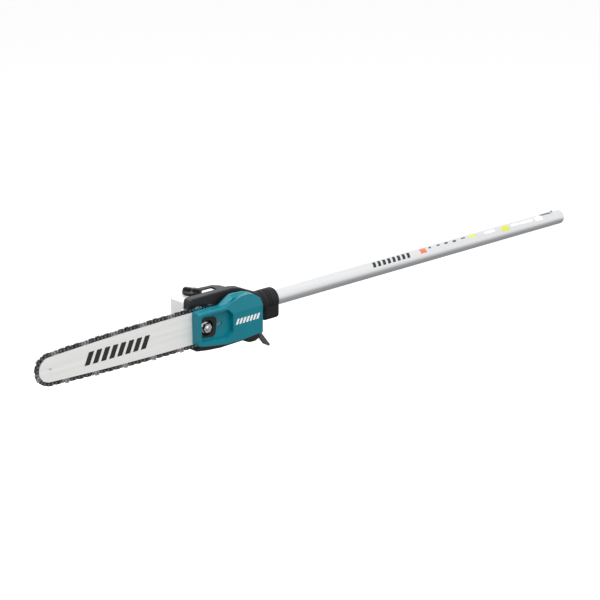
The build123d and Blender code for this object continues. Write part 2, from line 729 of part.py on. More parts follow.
# ---------------------------------------------------------------- oil pump
def make_pump():
    drive = plate(spur_face(pump_drive_teeth, pump_module) - Circle(small_bearing[0]), *pump_gear_y)
    save("pump_drive_gear", single(Pos(spindle_x, 0, 0) * drive))

    # The pump gear's space meets the tooth that the drive gear has on its -X side
    turn = 180 / pump_teeth if pump_drive_teeth % 2 == 0 else 0
    gear = plate(Rot(0, 0, turn) * spur_face(pump_teeth, pump_module), *pump_gear_y)
    plunger = Pos(pump_x, 0, 0) * gear
    plunger += along_y(plunger_radius, pump_gear_y[0], pump_body_y[1] - 4, pump_x)
    flat = plunger_radius - 1.0
    plunger -= block((pump_x + flat, pump_x + 4), (pump_body_y[1] - 9, pump_body_y[1]), (-4, 4))
    save("oil_pump_plunger", single(plunger))

    body = along_y(pump_radius, *pump_body_y, pump_x)
    for side in (1, -1):
        body += along_y(pump_leg_radius, case_far_y + case_cap_thickness, pump_body_y[0] + 4, pump_x, side * pump_leg_z)
        body += block((pump_x - 2.5, pump_x + 2.5), (pump_body_y[0], pump_body_y[0] + 4),
                      tuple(sorted((0, side * pump_leg_z))))
    body -= along_y(plunger_radius + running, pump_body_y[0] - 1, pump_body_y[1] - 3.6, pump_x)
    body -= [along_y(pump_screw_radius + running, case_far_y, pump_body_y[0] + 5, pump_x, side * pump_leg_z)
             for side in (1, -1)]
    body -= along_x(hose_radius + running, pump_x - pump_radius - 1, pump_x - plunger_radius - 1, hose_y, hose_z)
    body -= along_z(outlet_radius + running, -pump_radius - 1, -plunger_radius - 1, pump_x, outlet_y)
    save("oil_pump_body", single(body))
    save("oil_pump_screws", *[
        screw((pump_x, pump_body_y[0] + 4, side * pump_leg_z), "-Y", pump_screw_radius, pump_leg_radius,
              pump_body_y[0] + 4 - case_far_y - 0.5)
        for side in (1, -1)])

    # Outlet: down from the pump, then across to the bar side
    corner = outlet_z
    path = FilletPolyline((pump_x, outlet_y, -pump_radius + 2), (pump_x, outlet_y, corner),
                          (pump_x, pad_y + 1.0, corner), radius=6)
    section = Plane((pump_x, outlet_y, -pump_radius + 2), z_dir=(0, 0, -1)) * Circle(outlet_radius)
    save("oil_outlet_tube", single(sweep(section, path=path)))


def screw(seat_point, direction, radius, head_radius, length, head_height=screw_head_height):
    """Socket screw whose head's underside sits at a point; it points along direction."""
    body = Pos(0, 0, -length / 2) * Cylinder(radius, length)
    body += Pos(0, 0, head_height / 2) * Cylinder(head_radius, head_height)
    body -= Pos(0, 0, head_height) * extrude(hexagon(head_radius), amount=-0.6 * head_height)
    turns = {"-Z": Rot(0, 0, 0), "+Z": Rot(180, 0, 0), "-Y": Rot(-90, 0, 0), "+Y": Rot(90, 0, 0)}
    return single(Pos(*seat_point) * turns[direction] * body)


# ---------------------------------------------------------------- gear case
def make_gear_case():
    case = along_y(case_radius, pad_y, case_far_y, spindle_x)
    case += along_x(barrel_radius, spindle_x, clamp_x[1])
    case += block(pad_x, (pad_y, pad_y + pad_thickness), pad_z)
    case = fillet(case.edges().filter_by(Axis.Y).filter_by_position(Axis.X, pad_x[0] - 0.1, pad_x[0] + 0.1), 6)
    case += along_y(8, pad_y, pad_y + stud_depth + 2, stud_x, bar_z)
    case += block((tension_x - 9, spindle_x), (pad_y, pocket_back_y + 2.5), (-24, 8))
    case += [along_y(tank_post_radius, pad_y, tank_near_y, x, z) for x, z in tank_screw_places]
    # Ribs that carry the two black housings
    for x, z in housing_screw_places:
        case += block((x - 4, x + 4), (pad_y + 3.5, arch_y[1] - shell_wall - seat), (8, z))
        case += along_y(4.5, pad_y + 3.5, arch_y[1] - shell_wall - seat, x, z)
    case += [along_z(5, z_low, -12, x, y) for x, y, z_low in guard_boss_places]
    case += block(hook_boss_x, (-hook_width / 2, hook_width / 2), (hook_z + hook_thickness / 2, -10))
    # Pinch ears under the pole socket
    case += block(ear_x, (-ear_half, ear_half), (ear_low_z, -8))

    # Bearing seats and gear space
    case -= along_y(spindle_bearing[1] + seat / 2, pad_y - 1, near_bearing_y[1], spindle_x)
    case -= along_y(gear_space_radius, near_bearing_y[1] - 0.1, far_bearing_y[0] - 0.2, spindle_x)
    case -= along_y(small_bearing[1] + seat / 2, far_bearing_y[0] - 0.3, case_far_y + 1, spindle_x)
    case -= along_x(small_bearing[1] + seat / 2, spindle_x + 10, tube_front_x + 1)
    case -= along_x(retaining_groove_radius, *retaining_x)
    case -= along_x(tube_radius + seat / 2, tube_front_x, clamp_x[1] + 1)
    case -= block((clamp_x[0] + 10, clamp_x[1] + 1), (-1.2, 1.2), (-29, -8))
    case -= [along_y(clamp_bolt_radius + seat, -ear_half - 1, ear_half + 1, x, clamp_bolt_z) for x in clamp_bolt_x]

    # Stud, tensioner pockets, oil hole and screw holes
    case -= along_y(stud_radius + seat / 2, pad_y - 1, pad_y + stud_depth, stud_x, bar_z)
    case -= block((tension_x - 5.3, tension_x + 6.2), (pad_y - 1, pocket_back_y), (bar_z - 5.3, bar_z + 5.3))
    case -= block((tension_x + 12.5, tension_x + 28), (pad_y - 1, lug_y[1] + 0.6), (bar_z - 18.5, bar_z + 6.5))
    arm_bottom, arm_top = arm_z
    case -= block((stud_x - 11, tension_x + 13), (pad_y - 1, arm_y[1] + seat), (arm_bottom - 0.6, arm_top + 0.6))
    case -= along_x(rod_radius + running, tension_x + 5, rod_end_x + 0.3, rod_y, bar_z)
    case -= along_y(outlet_radius + running, pad_y - 1, pocket_back_y + 3.5, pump_x, outlet_z)
    for x, z in tank_screw_places:
        case -= along_y(screw_radius + seat, pad_y - 1, tank_near_y + 1, x, z)
        case -= along_y(screw_head_radius + seat, pad_y - 1, pad_y + screw_head_height + 0.3, x, z)
    case -= [along_y(screw_radius, arch_y[1] - 14, arch_y[1], x, z) for x, z in housing_screw_places]
    case -= [along_z(screw_radius, z_low - 1, z_low + 8, x, y) for x, y, z_low in guard_boss_places]
    case -= [along_z(screw_radius, hook_z, hook_z + 12, x, y) for x, y in hook_screw_places]
    case -= [along_y(case_cap_screw_radius, case_far_y - 9, case_far_y + 1, x, z) for x, z in case_cap_screw_places]
    save("gear_case", single(case))


def case_cap_face(gap=0.0):
    """Outline of the gear case's cap: round the case, its pump ears and its screw lugs, grown by a gap."""
    circles = [Pos(spindle_x, 0) * Circle(case_radius + gap)]
    circles += [Pos(x, z) * Circle(cap_ear_radius + gap) for x, z in pump_ear_places]
    circles += [Pos(x, z) * Circle(cap_lug_radius + gap) for x, z in side_screw_places]
    return make_hull([edge for circle in circles for edge in circle.edges()])


def case_room(gap):
    """Space taken by the case, its cap and the cap's screw heads, grown by a gap, for what goes round them."""
    room = along_y(case_radius + gap, pad_y, case_far_y + gap, spindle_x)
    heads_far_y = case_far_y + case_cap_thickness + screw_head_height
    return room + plate(case_cap_face(gap), case_far_y - gap, heads_far_y + gap)


def make_case_cap():
    cap = plate(case_cap_face(), case_far_y, case_far_y + case_cap_thickness)
    cap -= along_y(small_bearing[0] + 1.5, case_far_y - 1, case_far_y + case_cap_thickness + 1, spindle_x)
    cap -= [along_y(pump_screw_radius + running, case_far_y - 1, case_far_y + case_cap_thickness + 1, x, z)
            for x, z in pump_ear_places]
    cap -= [along_y(screw_radius + running, case_far_y - 1, case_far_y + case_cap_thickness + 1, x, z)
            for x, z in side_screw_places]
    cap -= [along_y(case_cap_screw_radius + seat, case_far_y - 1, case_far_y + case_cap_thickness + 1, x, z)
            for x, z in case_cap_screw_places]
    save("gear_case_cap", single(cap))
    save("gear_case_cap_screws", *[
        screw((x, case_far_y + case_cap_thickness, z), "-Y", case_cap_screw_radius - running, 2.8,
              case_cap_thickness + 7.5)
        for x, z in case_cap_screw_places])


def make_clamp_and_collar():
    bolts = []
    for x in clamp_bolt_x:
        bolts.append(screw((x, -ear_half, clamp_bolt_z), "+Y", clamp_bolt_radius, 4.3, 2 * ear_half, 4.0))
    save("clamp_bolts", *bolts)

    ring_low, ring_high = collar_ring_x
    collar = along_x(collar_radius, ring_low, ring_high)
    collar += block((ring_low, ring_high), (-collar_lobe_half, collar_lobe_half), (collar_low_z, -4))
    collar = fillet(edges_facing(collar, Axis.Z, collar_low_z).filter_by(Axis.X), 7)
    collar = fillet(edges_facing(collar, Axis.X, ring_high), 4)
    collar = chamfer(edges_facing(collar, Axis.X, ring_low).filter_by(Axis.Y), 3.5)
    collar += along_x(collar_radius - 0.5, collar_neck_x, ring_low + 0.1)
    # Grip grooves round the ring
    for x in (ring_low + 8, ring_low + 13):
        groove = along_x(collar_radius + 1, x, x + 1.6)
        collar -= groove - along_x(collar_radius - 0.8, x, x + 1.6) - block((x, x + 1.6), (-19, 19), (-29, -6))
    collar -= along_x(barrel_radius + seat, collar_neck_x - 1, clamp_x[1] + 0.5)
    ear = ear_half + 4.5
    collar -= block((ear_x[0] - 0.5, ear_x[1] + 0.5), (-ear, ear), (ear_low_z - 0.5, -8))
    collar -= along_x(tube_radius + seat, clamp_x[1], ring_high + 1)
    save("pole_collar", single(collar))


# ---------------------------------------------------------------- bar clamp and tensioner
def make_bar_clamp():
    stud = along_y(stud_radius, stud_tip_y, pad_y + stud_depth - 0.5, stud_x, bar_z)
    save("bar_stud", single(chamfer(edges_facing(stud, Axis.Y, stud_tip_y), 0.8)))

    nut = along_y(9.0, nut_seat_y - 2, nut_seat_y, stud_x, bar_z)
    nut = chamfer(edges_facing(nut, Axis.Y, nut_seat_y - 2), 0.8)
    nut += plate(Pos(stud_x, bar_z) * hexagon(13.0), nut_seat_y - 9, nut_seat_y - 2)
    nut &= along_y(11, nut_seat_y - 9, nut_seat_y, stud_x, bar_z)
    nut -= along_y(stud_radius + seat / 2, nut_seat_y - 10, nut_seat_y + 1, stud_x, bar_z)
    save("bar_nut", single(nut))

    face = Pos((stud_x - 20 + tension_x + 11) / 2, -4) * RectangleRounded(tension_x - stud_x + 31, 32, 3)
    face -= Pos(stud_x, bar_z) * Circle(stud_radius + 0.2)
    face -= Pos(tension_x, bar_z) * Circle(5.1)
    slot_long = bar_travel + 2 * adjuster_hole_radius + 0.8
    face -= Pos(adjuster_hole_x + bar_travel / 2, bar_z - adjuster_hole_rise) * SlotOverall(
        slot_long, 2 * adjuster_hole_radius + 0.4)
    save("bar_backing_plate", single(plate(face, pad_y - backing_thickness, pad_y)))

    face = Pos((stud_x + tension_x) / 2, bar_z) * RectangleRounded(tension_x - stud_x + 24, 26, 5)
    face -= Pos(stud_x, bar_z) * Circle(stud_radius + 0.2)
    face -= Pos(tension_x, bar_z) * Circle(tension_head_radius + 0.6)
    face -= Pos(stud_x - 6, bar_z - adjuster_hole_rise) * SlotOverall(22, 9)
    save("bar_guide_plate", single(plate(face, cover_seat_y, cover_seat_y + guide_plate_thickness)))


def make_tensioner():
    gear = bevel_gear(adjuster_teeth, adjuster_teeth, adjuster_module, adjuster_face, 0, 3.0, 1.0)
    apex = Pos(tension_x, rod_y, bar_z)
    hub_end = adjuster_module * adjuster_teeth / 2 + 1.0
    shaft = apex * Rot(90, 0, 0) * gear
    shaft += along_y(tension_screw_radius, tension_tip_y, rod_y - hub_end, tension_x, bar_z)
    shaft += along_y(tension_head_radius, tension_tip_y, tension_tip_y + 4, tension_x, bar_z)
    slot = block((tension_x - 0.6, tension_x + 0.6), (tension_tip_y - 1, tension_tip_y + 1.5),
                 (bar_z - 5, bar_z + 5))
    save("tension_screw", single(shaft - slot))

    rod = apex * Rot(0, 90, 0) * Rot(0, 0, 180 / adjuster_teeth) * gear
    rod += along_x(rod_radius, tension_x + hub_end, rod_end_x, rod_y, bar_z)
    save("tension_rod", single(rod))

    slider = block(arm_x, arm_y, arm_z)
    slider += block(lug_x, lug_y, (arm_z[0], bar_z + 5))
    slider -= along_x(rod_radius + running, lug_x[0] - 1, lug_x[1] + 1, rod_y, bar_z)
    slider += along_y(adjuster_hole_radius - running, bar_y - 1, arm_y[0] + 0.5,
                      adjuster_hole_x, bar_z - adjuster_hole_rise)
    save("tension_slider", single(slider))


# ---------------------------------------------------------------- sprocket cover
def cover_face(inset=0.0):
    """Outline of the sprocket cover in X and Z: low over the bar, humped over the sprocket."""
    points = [(spindle_x + x, z) for x, z in (
        (-89, 24.5), (-60, 25), (-36, 24), (-5, 33.5), (9, 34), (20, 31), (30, 24), (35, 12),
        (35, -34), (25, -33), (-6, -35.2), (-34, -35), (-65, -30.8), (-89, -26.5))]
    face = outline(points, 3.0)
    return offset(face, -inset) if inset else face


def lean_block(low_z, low_y):
    """What lies in front of the hump's upper face, which leans back from a line along X."""
    top_z = low_z + lean_height
    face = make_face(Polyline((head_face_y - 1, low_z), (low_y, low_z), (low_y + lean_back, top_z),
                              (head_face_y - 1, top_z), close=True))
    return Pos(spindle_x - 60, 0, 0) * extrude(Plane.YZ * face, amount=110)


def make_cover():
    cover = plate(cover_face(), head_face_y, cover_rim_y)
    cover = chamfer(edges_facing(cover, Axis.Y, head_face_y), 1.6)
    # Upper face of the hump leans back above the crease
    lean = lean_block(crease_z, head_face_y)
    lean &= plate(make_face(Polyline(*[(spindle_x + x, z) for x, z in (
        (-20, crease_z - 1), (-54, 34.5), (-54, 50), (46, 50), (46, crease_z - 1))], close=True)),
        head_face_y - 1, head_face_y + 9)
    cover -= lean
    # Shoulder that slants up from the bar side to the top of the hump, and the rim behind it
    shoulder = outline([(spindle_x + x, z) for x, z in (
        (-50, 18.5), (-34.3, 29), (-20.3, 36.6), (-11, 37), (4.6, 35.6), (20, 31.5), (29, 25), (33, 16), (-30, 16))])
    shoulder = plate(shoulder, shoulder_y, cover_seat_y)
    cover += chamfer(edges_facing(shoulder, Axis.Y, shoulder_y), shoulder_slant)
    rim = outline([(spindle_x + x, z) for x, z in (
        (-24, 20), (-22, 29), (-14, 33.5), (-4, 34.5), (9.8, 33), (20, 30.5), (28.7, 26), (33, 16), (-24, 16))], 2.0)
    cover += plate(rim, rim_y, cover_rim_y)
    # Bar side stays behind the bar's guide plate, the hump is hollow round the chain
    cover -= block((spindle_x - 90, chamber_x), (cover_seat_y, cover_rim_y + 1), (-40, 50))
    chamber = plate(cover_face(shell_wall), head_face_y + shell_wall, cover_rim_y + 1)
    chamber &= block((chamber_x, spindle_x + 40), (head_face_y, cover_rim_y + 2), (-40, 50))
    chamber -= lean_block(crease_z - 1, head_face_y + shell_wall)
    cover -= chamber
    # Sunken panel with its round end towards the hump
    low, high = panel_x
    panel = outline([(low, 20), (high - 9, 19.5), (high, 10), (high, -18), (high - 9, -24.5), (low, -20.5)], 3.5)
    cover -= extrude(Pos(0, head_face_y - 1, 0) * Rot(90, 0, 0) * panel, amount=-(panel_y - head_face_y + 1))
    # Nut well, stud hole and the tension screw's hole
    cover -= along_y(well_radius + 1.5 + seat, panel_y - 1, well_floor_y, stud_x, bar_z)
    cover -= along_y(stud_radius + 0.4, well_floor_y - 1, cover_seat_y + 1, stud_x, bar_z)
    cover -= along_y(tension_head_radius + 0.5, panel_y - 1, cover_seat_y + 1, tension_x, bar_z)
    cover -= block((adjuster_hole_x - 8, adjuster_hole_x + 12), (cover_seat_y - 2, cover_seat_y + 1),
                   (bar_z - adjuster_hole_rise - 4, bar_z - adjuster_hole_rise + 4))
    save("sprocket_cover", single(cover))

    insert = plate(Pos(stud_x + 4, bar_z) * Rot(0, 0, -6) * RectangleRounded(28, 31, 7), panel_y - 1.0, panel_y)
    insert = chamfer(edges_facing(insert, Axis.Y, panel_y - 1.0), 0.4)
    insert += along_y(well_radius + 1.5, panel_y, well_floor_y, stud_x, bar_z)
    insert -= along_y(well_radius, panel_y - 2, nut_seat_y, stud_x, bar_z)
    insert -= along_y(stud_radius + 0.4, nut_seat_y - 1, well_floor_y + 1, stud_x, bar_z)
    save("nut_recess_insert", single(insert))


# ---------------------------------------------------------------- oil tank
def make_tank():
    tank = block(tank_x, (tank_near_y, tank_far_y), tank_z)
    tank = fillet(tank.edges().filter_by(Axis.Z).filter_by_position(Axis.Y, tank_far_y - 1, tank_far_y + 1), tank_corner)
    tank = fillet(tank.edges().filter_by(Axis.Z).filter_by_position(Axis.Y, tank_near_y - 1, tank_near_y + 1), 5)
    tank = fillet(edges_facing(tank, Axis.Z, tank_z[1]), 3.5)
    tank = fillet(edges_facing(tank, Axis.Z, tank_z[0]), 3.5)
    shelf = block((neck_x, shelf_x_end), (tank_near_y, shelf_far_y), (shelf_low_z, tank_z[1]))
    shelf = fillet(edges_facing(shelf, Axis.X, shelf_x_end), 3)
    tank += shelf
    tank += along_z(neck_radius, tank_z[1] - 0.5, tank_z[1] + neck_height, neck_x, neck_y)
    inside = block((tank_x[0] + tank_wall, tank_x[1] - tank_wall), (tank_near_y + tank_wall, tank_far_y - tank_wall),
                   (tank_z[0] + tank_wall, tank_z[1] - tank_wall))
    inside = fillet(inside.edges().filter_by(Axis.Z).filter_by_position(
        Axis.Y, tank_far_y - tank_wall - 0.1, tank_far_y - tank_wall + 0.1), tank_corner - tank_wall)
    inside += block((neck_x, shelf_x_end - tank_wall), (tank_near_y + tank_wall, shelf_far_y - tank_wall),
                    (shelf_low_z + tank_wall, tank_z[1] - tank_wall))
    for x, z in tank_screw_places:
        inside -= along_y(tank_post_radius, tank_near_y, tank_near_y + tank_boss, x, z)
    inside -= case_room(apart + tank_wall)
    tank -= inside + case_room(apart)
    tank -= along_z(neck_radius - neck_wall, tank_z[1] - 5, tank_z[1] + neck_height + 1, neck_x, neck_y)
    tank -= [along_y(screw_radius, tank_near_y - 1, tank_near_y + tank_boss - 2, x, z) for x, z in tank_screw_places]
    tank -= along_x(hose_radius + running, tank_x[1] - tank_wall - 1, tank_x[1] + 1, hose_y, hose_z)
    save("oil_tank", single(tank))
    save("tank_screws", *[
        screw((x, pad_y + screw_head_height + 0.2, z), "+Y", screw_radius - running, screw_head_radius,
              tank_near_y + tank_boss - 3 - pad_y - screw_head_height)
        for x, z in tank_screw_places])

    top = tank_z[1] + neck_height
    gasket = along_z(cap_radius - 1, top, top + gasket_thickness, neck_x, neck_y)
    gasket -= along_z(plug_radius + 0.1, top - 1, top + gasket_thickness + 1, neck_x, neck_y)
    save("cap_gasket", single(gasket))

    base = top + gasket_thickness
    cap = along_z(cap_radius, base, base + cap_height, neck_x, neck_y)
    cap -= [along_z(1.3, base - 1, base + cap_height + 1,
                    neck_x + (cap_radius + 0.5) * math.cos(math.radians(angle)),
                    neck_y + (cap_radius + 0.5) * math.sin(math.radians(angle))) for angle in range(0, 360, 20)]
    wing_top = base + cap_height + cap_wing_height
    for side in (1, -1):
        wing = block((neck_x - 2.6, neck_x + 2.6), (-cap_radius + 0.8, -1.6), (base + cap_height - 0.5, wing_top))
        wing = fillet(wing.edges().filter_by(Axis.X).filter_by_position(Axis.Z, wing_top - 0.1, wing_top + 0.1), 2.4)
        if side == 1:
            wing = Rot(0, 0, 180) * Pos(-2 * neck_x, 0, 0) * wing
        cap += Pos(neck_x, neck_y, 0) * Rot(0, 0, cap_turn) * Pos(-neck_x, 0, 0) * wing
    cap += along_z(plug_radius, base - plug_length, base, neck_x, neck_y)
    cap -= along_z(plug_radius - 2, base - plug_length - 1, base - 1, neck_x, neck_y)
    save("oil_cap", single(cap))

    floor = tank_z[0] + tank_wall + seat
    filter_z = floor + filter_radius
    oil_filter = along_x(filter_radius, hose_start_x - 14, hose_start_x + 2, hose_y, filter_z)
    oil_filter -= along_x(filter_radius + 1, hose_start_x - 11, hose_start_x - 3, hose_y, filter_z) - along_x(
        filter_radius - 1, hose_start_x - 12, hose_start_x - 2, hose_y, filter_z)
    oil_filter -= along_x(hose_radius + running, hose_start_x - 5, hose_start_x + 3, hose_y, filter_z)
    save("oil_filter", single(oil_filter))

    path = FilletPolyline((hose_start_x - 4, hose_y, filter_z), (hose_turn_x, hose_y, filter_z),
                          (hose_turn_x, hose_y, hose_z), (hose_end_x, hose_y, hose_z), radius=6)
    section = Plane((hose_start_x - 4, hose_y, filter_z), z_dir=(1, 0, 0)) * Circle(hose_radius)
    save("oil_pickup_hose", single(sweep(section, path=path)))


# ---------------------------------------------------------------- black housings, guard and hook
def arch_face(inset=0.0):
    """Side outline of the arched upper housing, drawn in by a wall thickness when asked."""
    top = [(spindle_x + x, z) for x, z in (
        (-88, 35.5), (-86, 39.2), (-80, 40.6), (-40, 41), (-4, 41), (9, 38.6), (25, 31.4), (44.5, arch_low_z + 0.4))]
    face = outline([(spindle_x - 89, arch_low_z), *top, (spindle_x + 44.5, arch_low_z)])
    return offset(face, -inset) if inset else face


def make_upper_housing():
    housing = plate(arch_face(), *arch_y)
    long_edges = [edge for edge in edges_facing(housing, Axis.Y, arch_y[0]) + edges_facing(housing, Axis.Y, arch_y[1])
                  if edge.center().Z > arch_low_z + 0.5]
    housing = fillet(long_edges, 2.0)
    inner = plate(arch_face(shell_wall), arch_y[0] + shell_wall, arch_y[1] - shell_wall)
    housing -= inner
    housing -= block((spindle_x - 86, spindle_x + 36), (arch_y[0] + shell_wall, arch_y[1] - shell_wall),
                     (arch_low_z - 1, arch_low_z + shell_wall + 1))
    housing -= [along_y(screw_radius + seat, arch_y[1] - 4, arch_y[1] + 1, x, z) for x, z in housing_screw_places]
    save("upper_housing", single(housing))
    save("upper_housing_screws", *[
        screw((x, arch_y[1], z), "-Y", screw_radius - running, screw_head_radius, 9.0)
        for x, z in housing_screw_places])


def side_face(inset=0.0):
    """Side outline of the housing over the pump, drawn in by a wall thickness when asked."""
    low_x, high_x = side_housing_x
    face = outline([(low_x, side_housing_low_z), (low_x, 27.5), (low_x + 6, 29.5), (spindle_x + 6, 28.5),
                    (spindle_x + 22, 24.5), (high_x, 18.0), (high_x, side_housing_low_z)], 3.0)
    return offset(face, -inset) if inset else face


def make_side_housing():
    low_x, high_x = side_housing_x
    near_y = tank_near_y - 0.7
    box = plate(side_face(), near_y, housing_far_y)
    box = fillet(edges_facing(box, Axis.Y, housing_far_y), 2.5)
    inner = plate(side_face(shell_wall), near_y - 1, housing_far_y - shell_wall)
    # Step that the tank's shelf lies in
    box -= block((low_x - 1, shelf_x_end + 0.5), (near_y - 1, shelf_far_y + 0.5), (shelf_low_z - 0.4, 40))
    inner -= block((low_x - 1, shelf_x_end + 0.5 + shell_wall), (near_y - 2, shelf_far_y + 0.5 + shell_wall),
                   (shelf_low_z - 0.4 - shell_wall, 40))
    box -= inner + case_room(apart)
    box += [along_y(4.5, case_far_y + case_cap_thickness, housing_far_y - 1, x, z) for x, z in side_screw_places]
    box -= along_x(barrel_radius + 0.3, spindle_x, high_x + 1)
    box -= along_x(hose_radius + 0.5, low_x - 1, low_x + shell_wall + 1, hose_y, hose_z)
    for x, z in side_screw_places:
        box -= along_y(screw_radius + seat, case_far_y, housing_far_y + 1, x, z)
        box -= along_y(screw_head_radius + seat, housing_far_y - screw_head_height - 0.4, housing_far_y + 1, x, z)
    for z in (-12, -4, 4, 12):
        box -= block((spindle_x - 14, spindle_x + 8), (housing_far_y - 1.2, housing_far_y + 1), (z - 1.2, z + 1.2))
    save("side_housing", single(box))
    save("side_housing_screws", *[
        screw((x, housing_far_y - screw_head_height - 0.4, z), "-Y", screw_radius - running, screw_head_radius,
              housing_far_y - screw_head_height - case_far_y - 0.8)
        for x, z in side_screw_places])


def make_lower_guard():
    points = [(spindle_x + x, z) for x, z in (
        (-88, -34), (-84, -38.5), (-62, -41.8), (-37, -43.8), (6, -42.9), (13, -46.5), (20, -49.4), (32, -49.6),
        (39.5, -46), (41, -41), (36, -37.8), (-20, -36.8), (-60, -34.5))]
    solid_guard = plate(outline(points, 1.5), *guard_y)
    inner = [(spindle_x + x, z) for x, z in (
        (-82, -30), (-80.5, -36), (-61, -39.3), (-37, -41.3), (7, -40.4), (14, -44), (21, -46.9), (31, -47.1),
        (37, -44.5), (38, -41.5), (34, -40), (34, -30))]
    guard = solid_guard - plate(outline(inner), guard_y[0] + shell_wall, guard_y[1] - shell_wall)
    for x, y, z_low in guard_boss_places:
        column = along_z(4.5, z_low, -62, x, y)
        guard += (column & solid_guard) + along_z(4.5, z_low, -40, x, y)
        guard -= along_z(screw_radius + seat, z_low + 1, -62, x, y)
        guard -= along_z(screw_head_radius + seat, guard_screw_z, -62, x, y)
    save("lower_guard", single(guard))
    save("lower_guard_screws", *[
        screw((x, y, guard_screw_z), "+Z", screw_radius - running, screw_head_radius, z_low - guard_screw_z + 7)
        for x, y, z_low in guard_boss_places])


def make_hook():
    bend_x = hook_boss_x[1] + 1
    centre = FilletPolyline((hook_boss_x[0], 0, hook_z), (bend_x, 0, hook_z), (hook_tip[0], 0, hook_tip[1]), radius=6)
    section = Plane((hook_boss_x[0], 0, hook_z), x_dir=(0, 1, 0), z_dir=(1, 0, 0)) * Rectangle(
        hook_width, hook_thickness)
    hook = sweep(section, path=centre)
    hook -= [along_z(screw_radius + seat, hook_z - 5, hook_z + 5, x, y) for x, y in hook_screw_places]
    save("branch_hook", single(hook))
    save("branch_hook_screws", *[
        screw((x, y, hook_z - hook_thickness / 2), "+Z", screw_radius - running, 3.2, hook_thickness + 8)
        for x, y in hook_screw_places])


if __name__ == "__main__":
    os.makedirs("parts", exist_ok=True)
    make_chain()
    make_bar()
    make_nose()
    make_pole()
    make_drive_shaft()
    make_pinion()
    make_bearings()
    make_spindle()
    make_pump()
    make_gear_case()
    make_case_cap()
    make_clamp_and_collar()
    make_bar_clamp()
    make_tensioner()
    make_cover()
    make_tank()
    make_upper_housing()
    make_side_housing()
    make_lower_guard()
    make_hook()
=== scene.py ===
import json
import math

import bmesh
import bpy
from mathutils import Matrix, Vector


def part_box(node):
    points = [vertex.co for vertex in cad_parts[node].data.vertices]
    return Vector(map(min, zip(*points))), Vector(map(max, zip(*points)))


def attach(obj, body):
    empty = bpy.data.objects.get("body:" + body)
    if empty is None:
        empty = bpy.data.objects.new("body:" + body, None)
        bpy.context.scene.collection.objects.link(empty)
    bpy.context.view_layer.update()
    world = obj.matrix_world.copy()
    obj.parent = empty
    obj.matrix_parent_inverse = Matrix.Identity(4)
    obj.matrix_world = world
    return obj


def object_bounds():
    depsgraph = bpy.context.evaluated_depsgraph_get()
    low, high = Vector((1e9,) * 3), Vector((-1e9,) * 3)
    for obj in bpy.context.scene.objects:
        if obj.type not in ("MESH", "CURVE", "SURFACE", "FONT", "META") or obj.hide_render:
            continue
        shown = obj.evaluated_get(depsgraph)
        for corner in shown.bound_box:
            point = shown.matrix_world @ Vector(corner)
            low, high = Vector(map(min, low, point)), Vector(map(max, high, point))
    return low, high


bl_info = {
    "name": "Pole saw finishes",
    "version": (1, 0, 0),
    "blender": (4, 5, 0),
    "location": "3D View > Sidebar > Pole saw",
    "description": "Finishes, printed marks and stage for a pole saw attachment",
    "category": "Object",
}

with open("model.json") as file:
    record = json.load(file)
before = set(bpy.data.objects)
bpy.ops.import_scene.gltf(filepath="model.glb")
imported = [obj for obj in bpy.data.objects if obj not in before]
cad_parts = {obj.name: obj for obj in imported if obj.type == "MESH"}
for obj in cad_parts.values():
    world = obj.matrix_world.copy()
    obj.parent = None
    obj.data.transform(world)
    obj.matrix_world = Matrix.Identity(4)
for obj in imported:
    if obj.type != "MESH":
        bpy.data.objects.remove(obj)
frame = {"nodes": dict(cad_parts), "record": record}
cad_low, cad_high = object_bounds()

MM = 0.001
FLOAT = "NodeSocketFloat"
VECTOR = "NodeSocketVector"

# Which finish each node of the CAD model wears
FINISH_NODES = {
    "drawn aluminium tube": ("pole_tube",),
    "cast aluminium": ("gear_case", "gear_case_cap"),
    "steel turned along the pole": (
        "drive_shaft", "bevel_pinion", "pinion_bearing_inner_rings", "tension_rod", "tension_slider"),
    "steel turned across the pole": (
        "spindle", "bevel_gear", "spindle_bearing_inner_rings", "drive_sprocket", "sprocket_washer",
        "tension_screw", "bearing_outer_rings", "bearing_balls", "nose_bearing_race", "nose_sprocket"),
    "locating pin steel": ("locating_pin",),
    "phosphated spring steel": ("retaining_ring", "sprocket_clip"),
    "bright zinc plate": ("bar_nut", "bar_stud"),
    "black oxide screws": (
        "clamp_bolts", "gear_case_cap_screws", "tank_screws", "upper_housing_screws", "side_housing_screws",
        "lower_guard_screws", "branch_hook_screws", "oil_pump_screws"),
    "light grey bar paint": ("guide_bar", "nose_rivets"),
    "rolled plate": ("bar_backing_plate", "bar_guide_plate"),
    "oiled chain steel": ("chain_drive_links", "chain_tie_straps"),
    "peened rivet steel": ("chain_rivets",),
    "chromed cutters": ("chain_left_cutters", "chain_right_cutters"),
    "black coated hook": ("branch_hook",),
    "teal cover nylon": ("sprocket_cover",),
    "black housing nylon": ("upper_housing", "side_housing", "lower_guard"),
    "black fitting nylon": ("oil_cap", "nut_recess_insert", "pump_drive_gear"),
    "moulded rubber": ("pole_collar", "cap_gasket", "oil_pickup_hose"),
    "milky tank": ("oil_tank",),
    "white nylon": ("shaft_bushings", "oil_filter"),
    "sintered metal": ("oil_pump_body", "oil_pump_plunger", "oil_outlet_tube"),
}


def slot_colour(slot):
    """The base colour that the record gives a material slot."""
    for row in frame["record"]["materials"]:
        if row["slot"] == slot:
            return tuple(row["base_color"][:3])
    raise ValueError(f"the record has no material slot named {slot}")


def colour_setting(name, about, default):
    return bpy.props.FloatVectorProperty(
        name=name, description=about, subtype="COLOR", size=3, min=0.0, max=1.0, default=default)


def length_setting(name, about, millimetres):
    return bpy.props.FloatProperty(
        name=name, description=about, subtype="DISTANCE", unit="LENGTH", default=millimetres * MM)


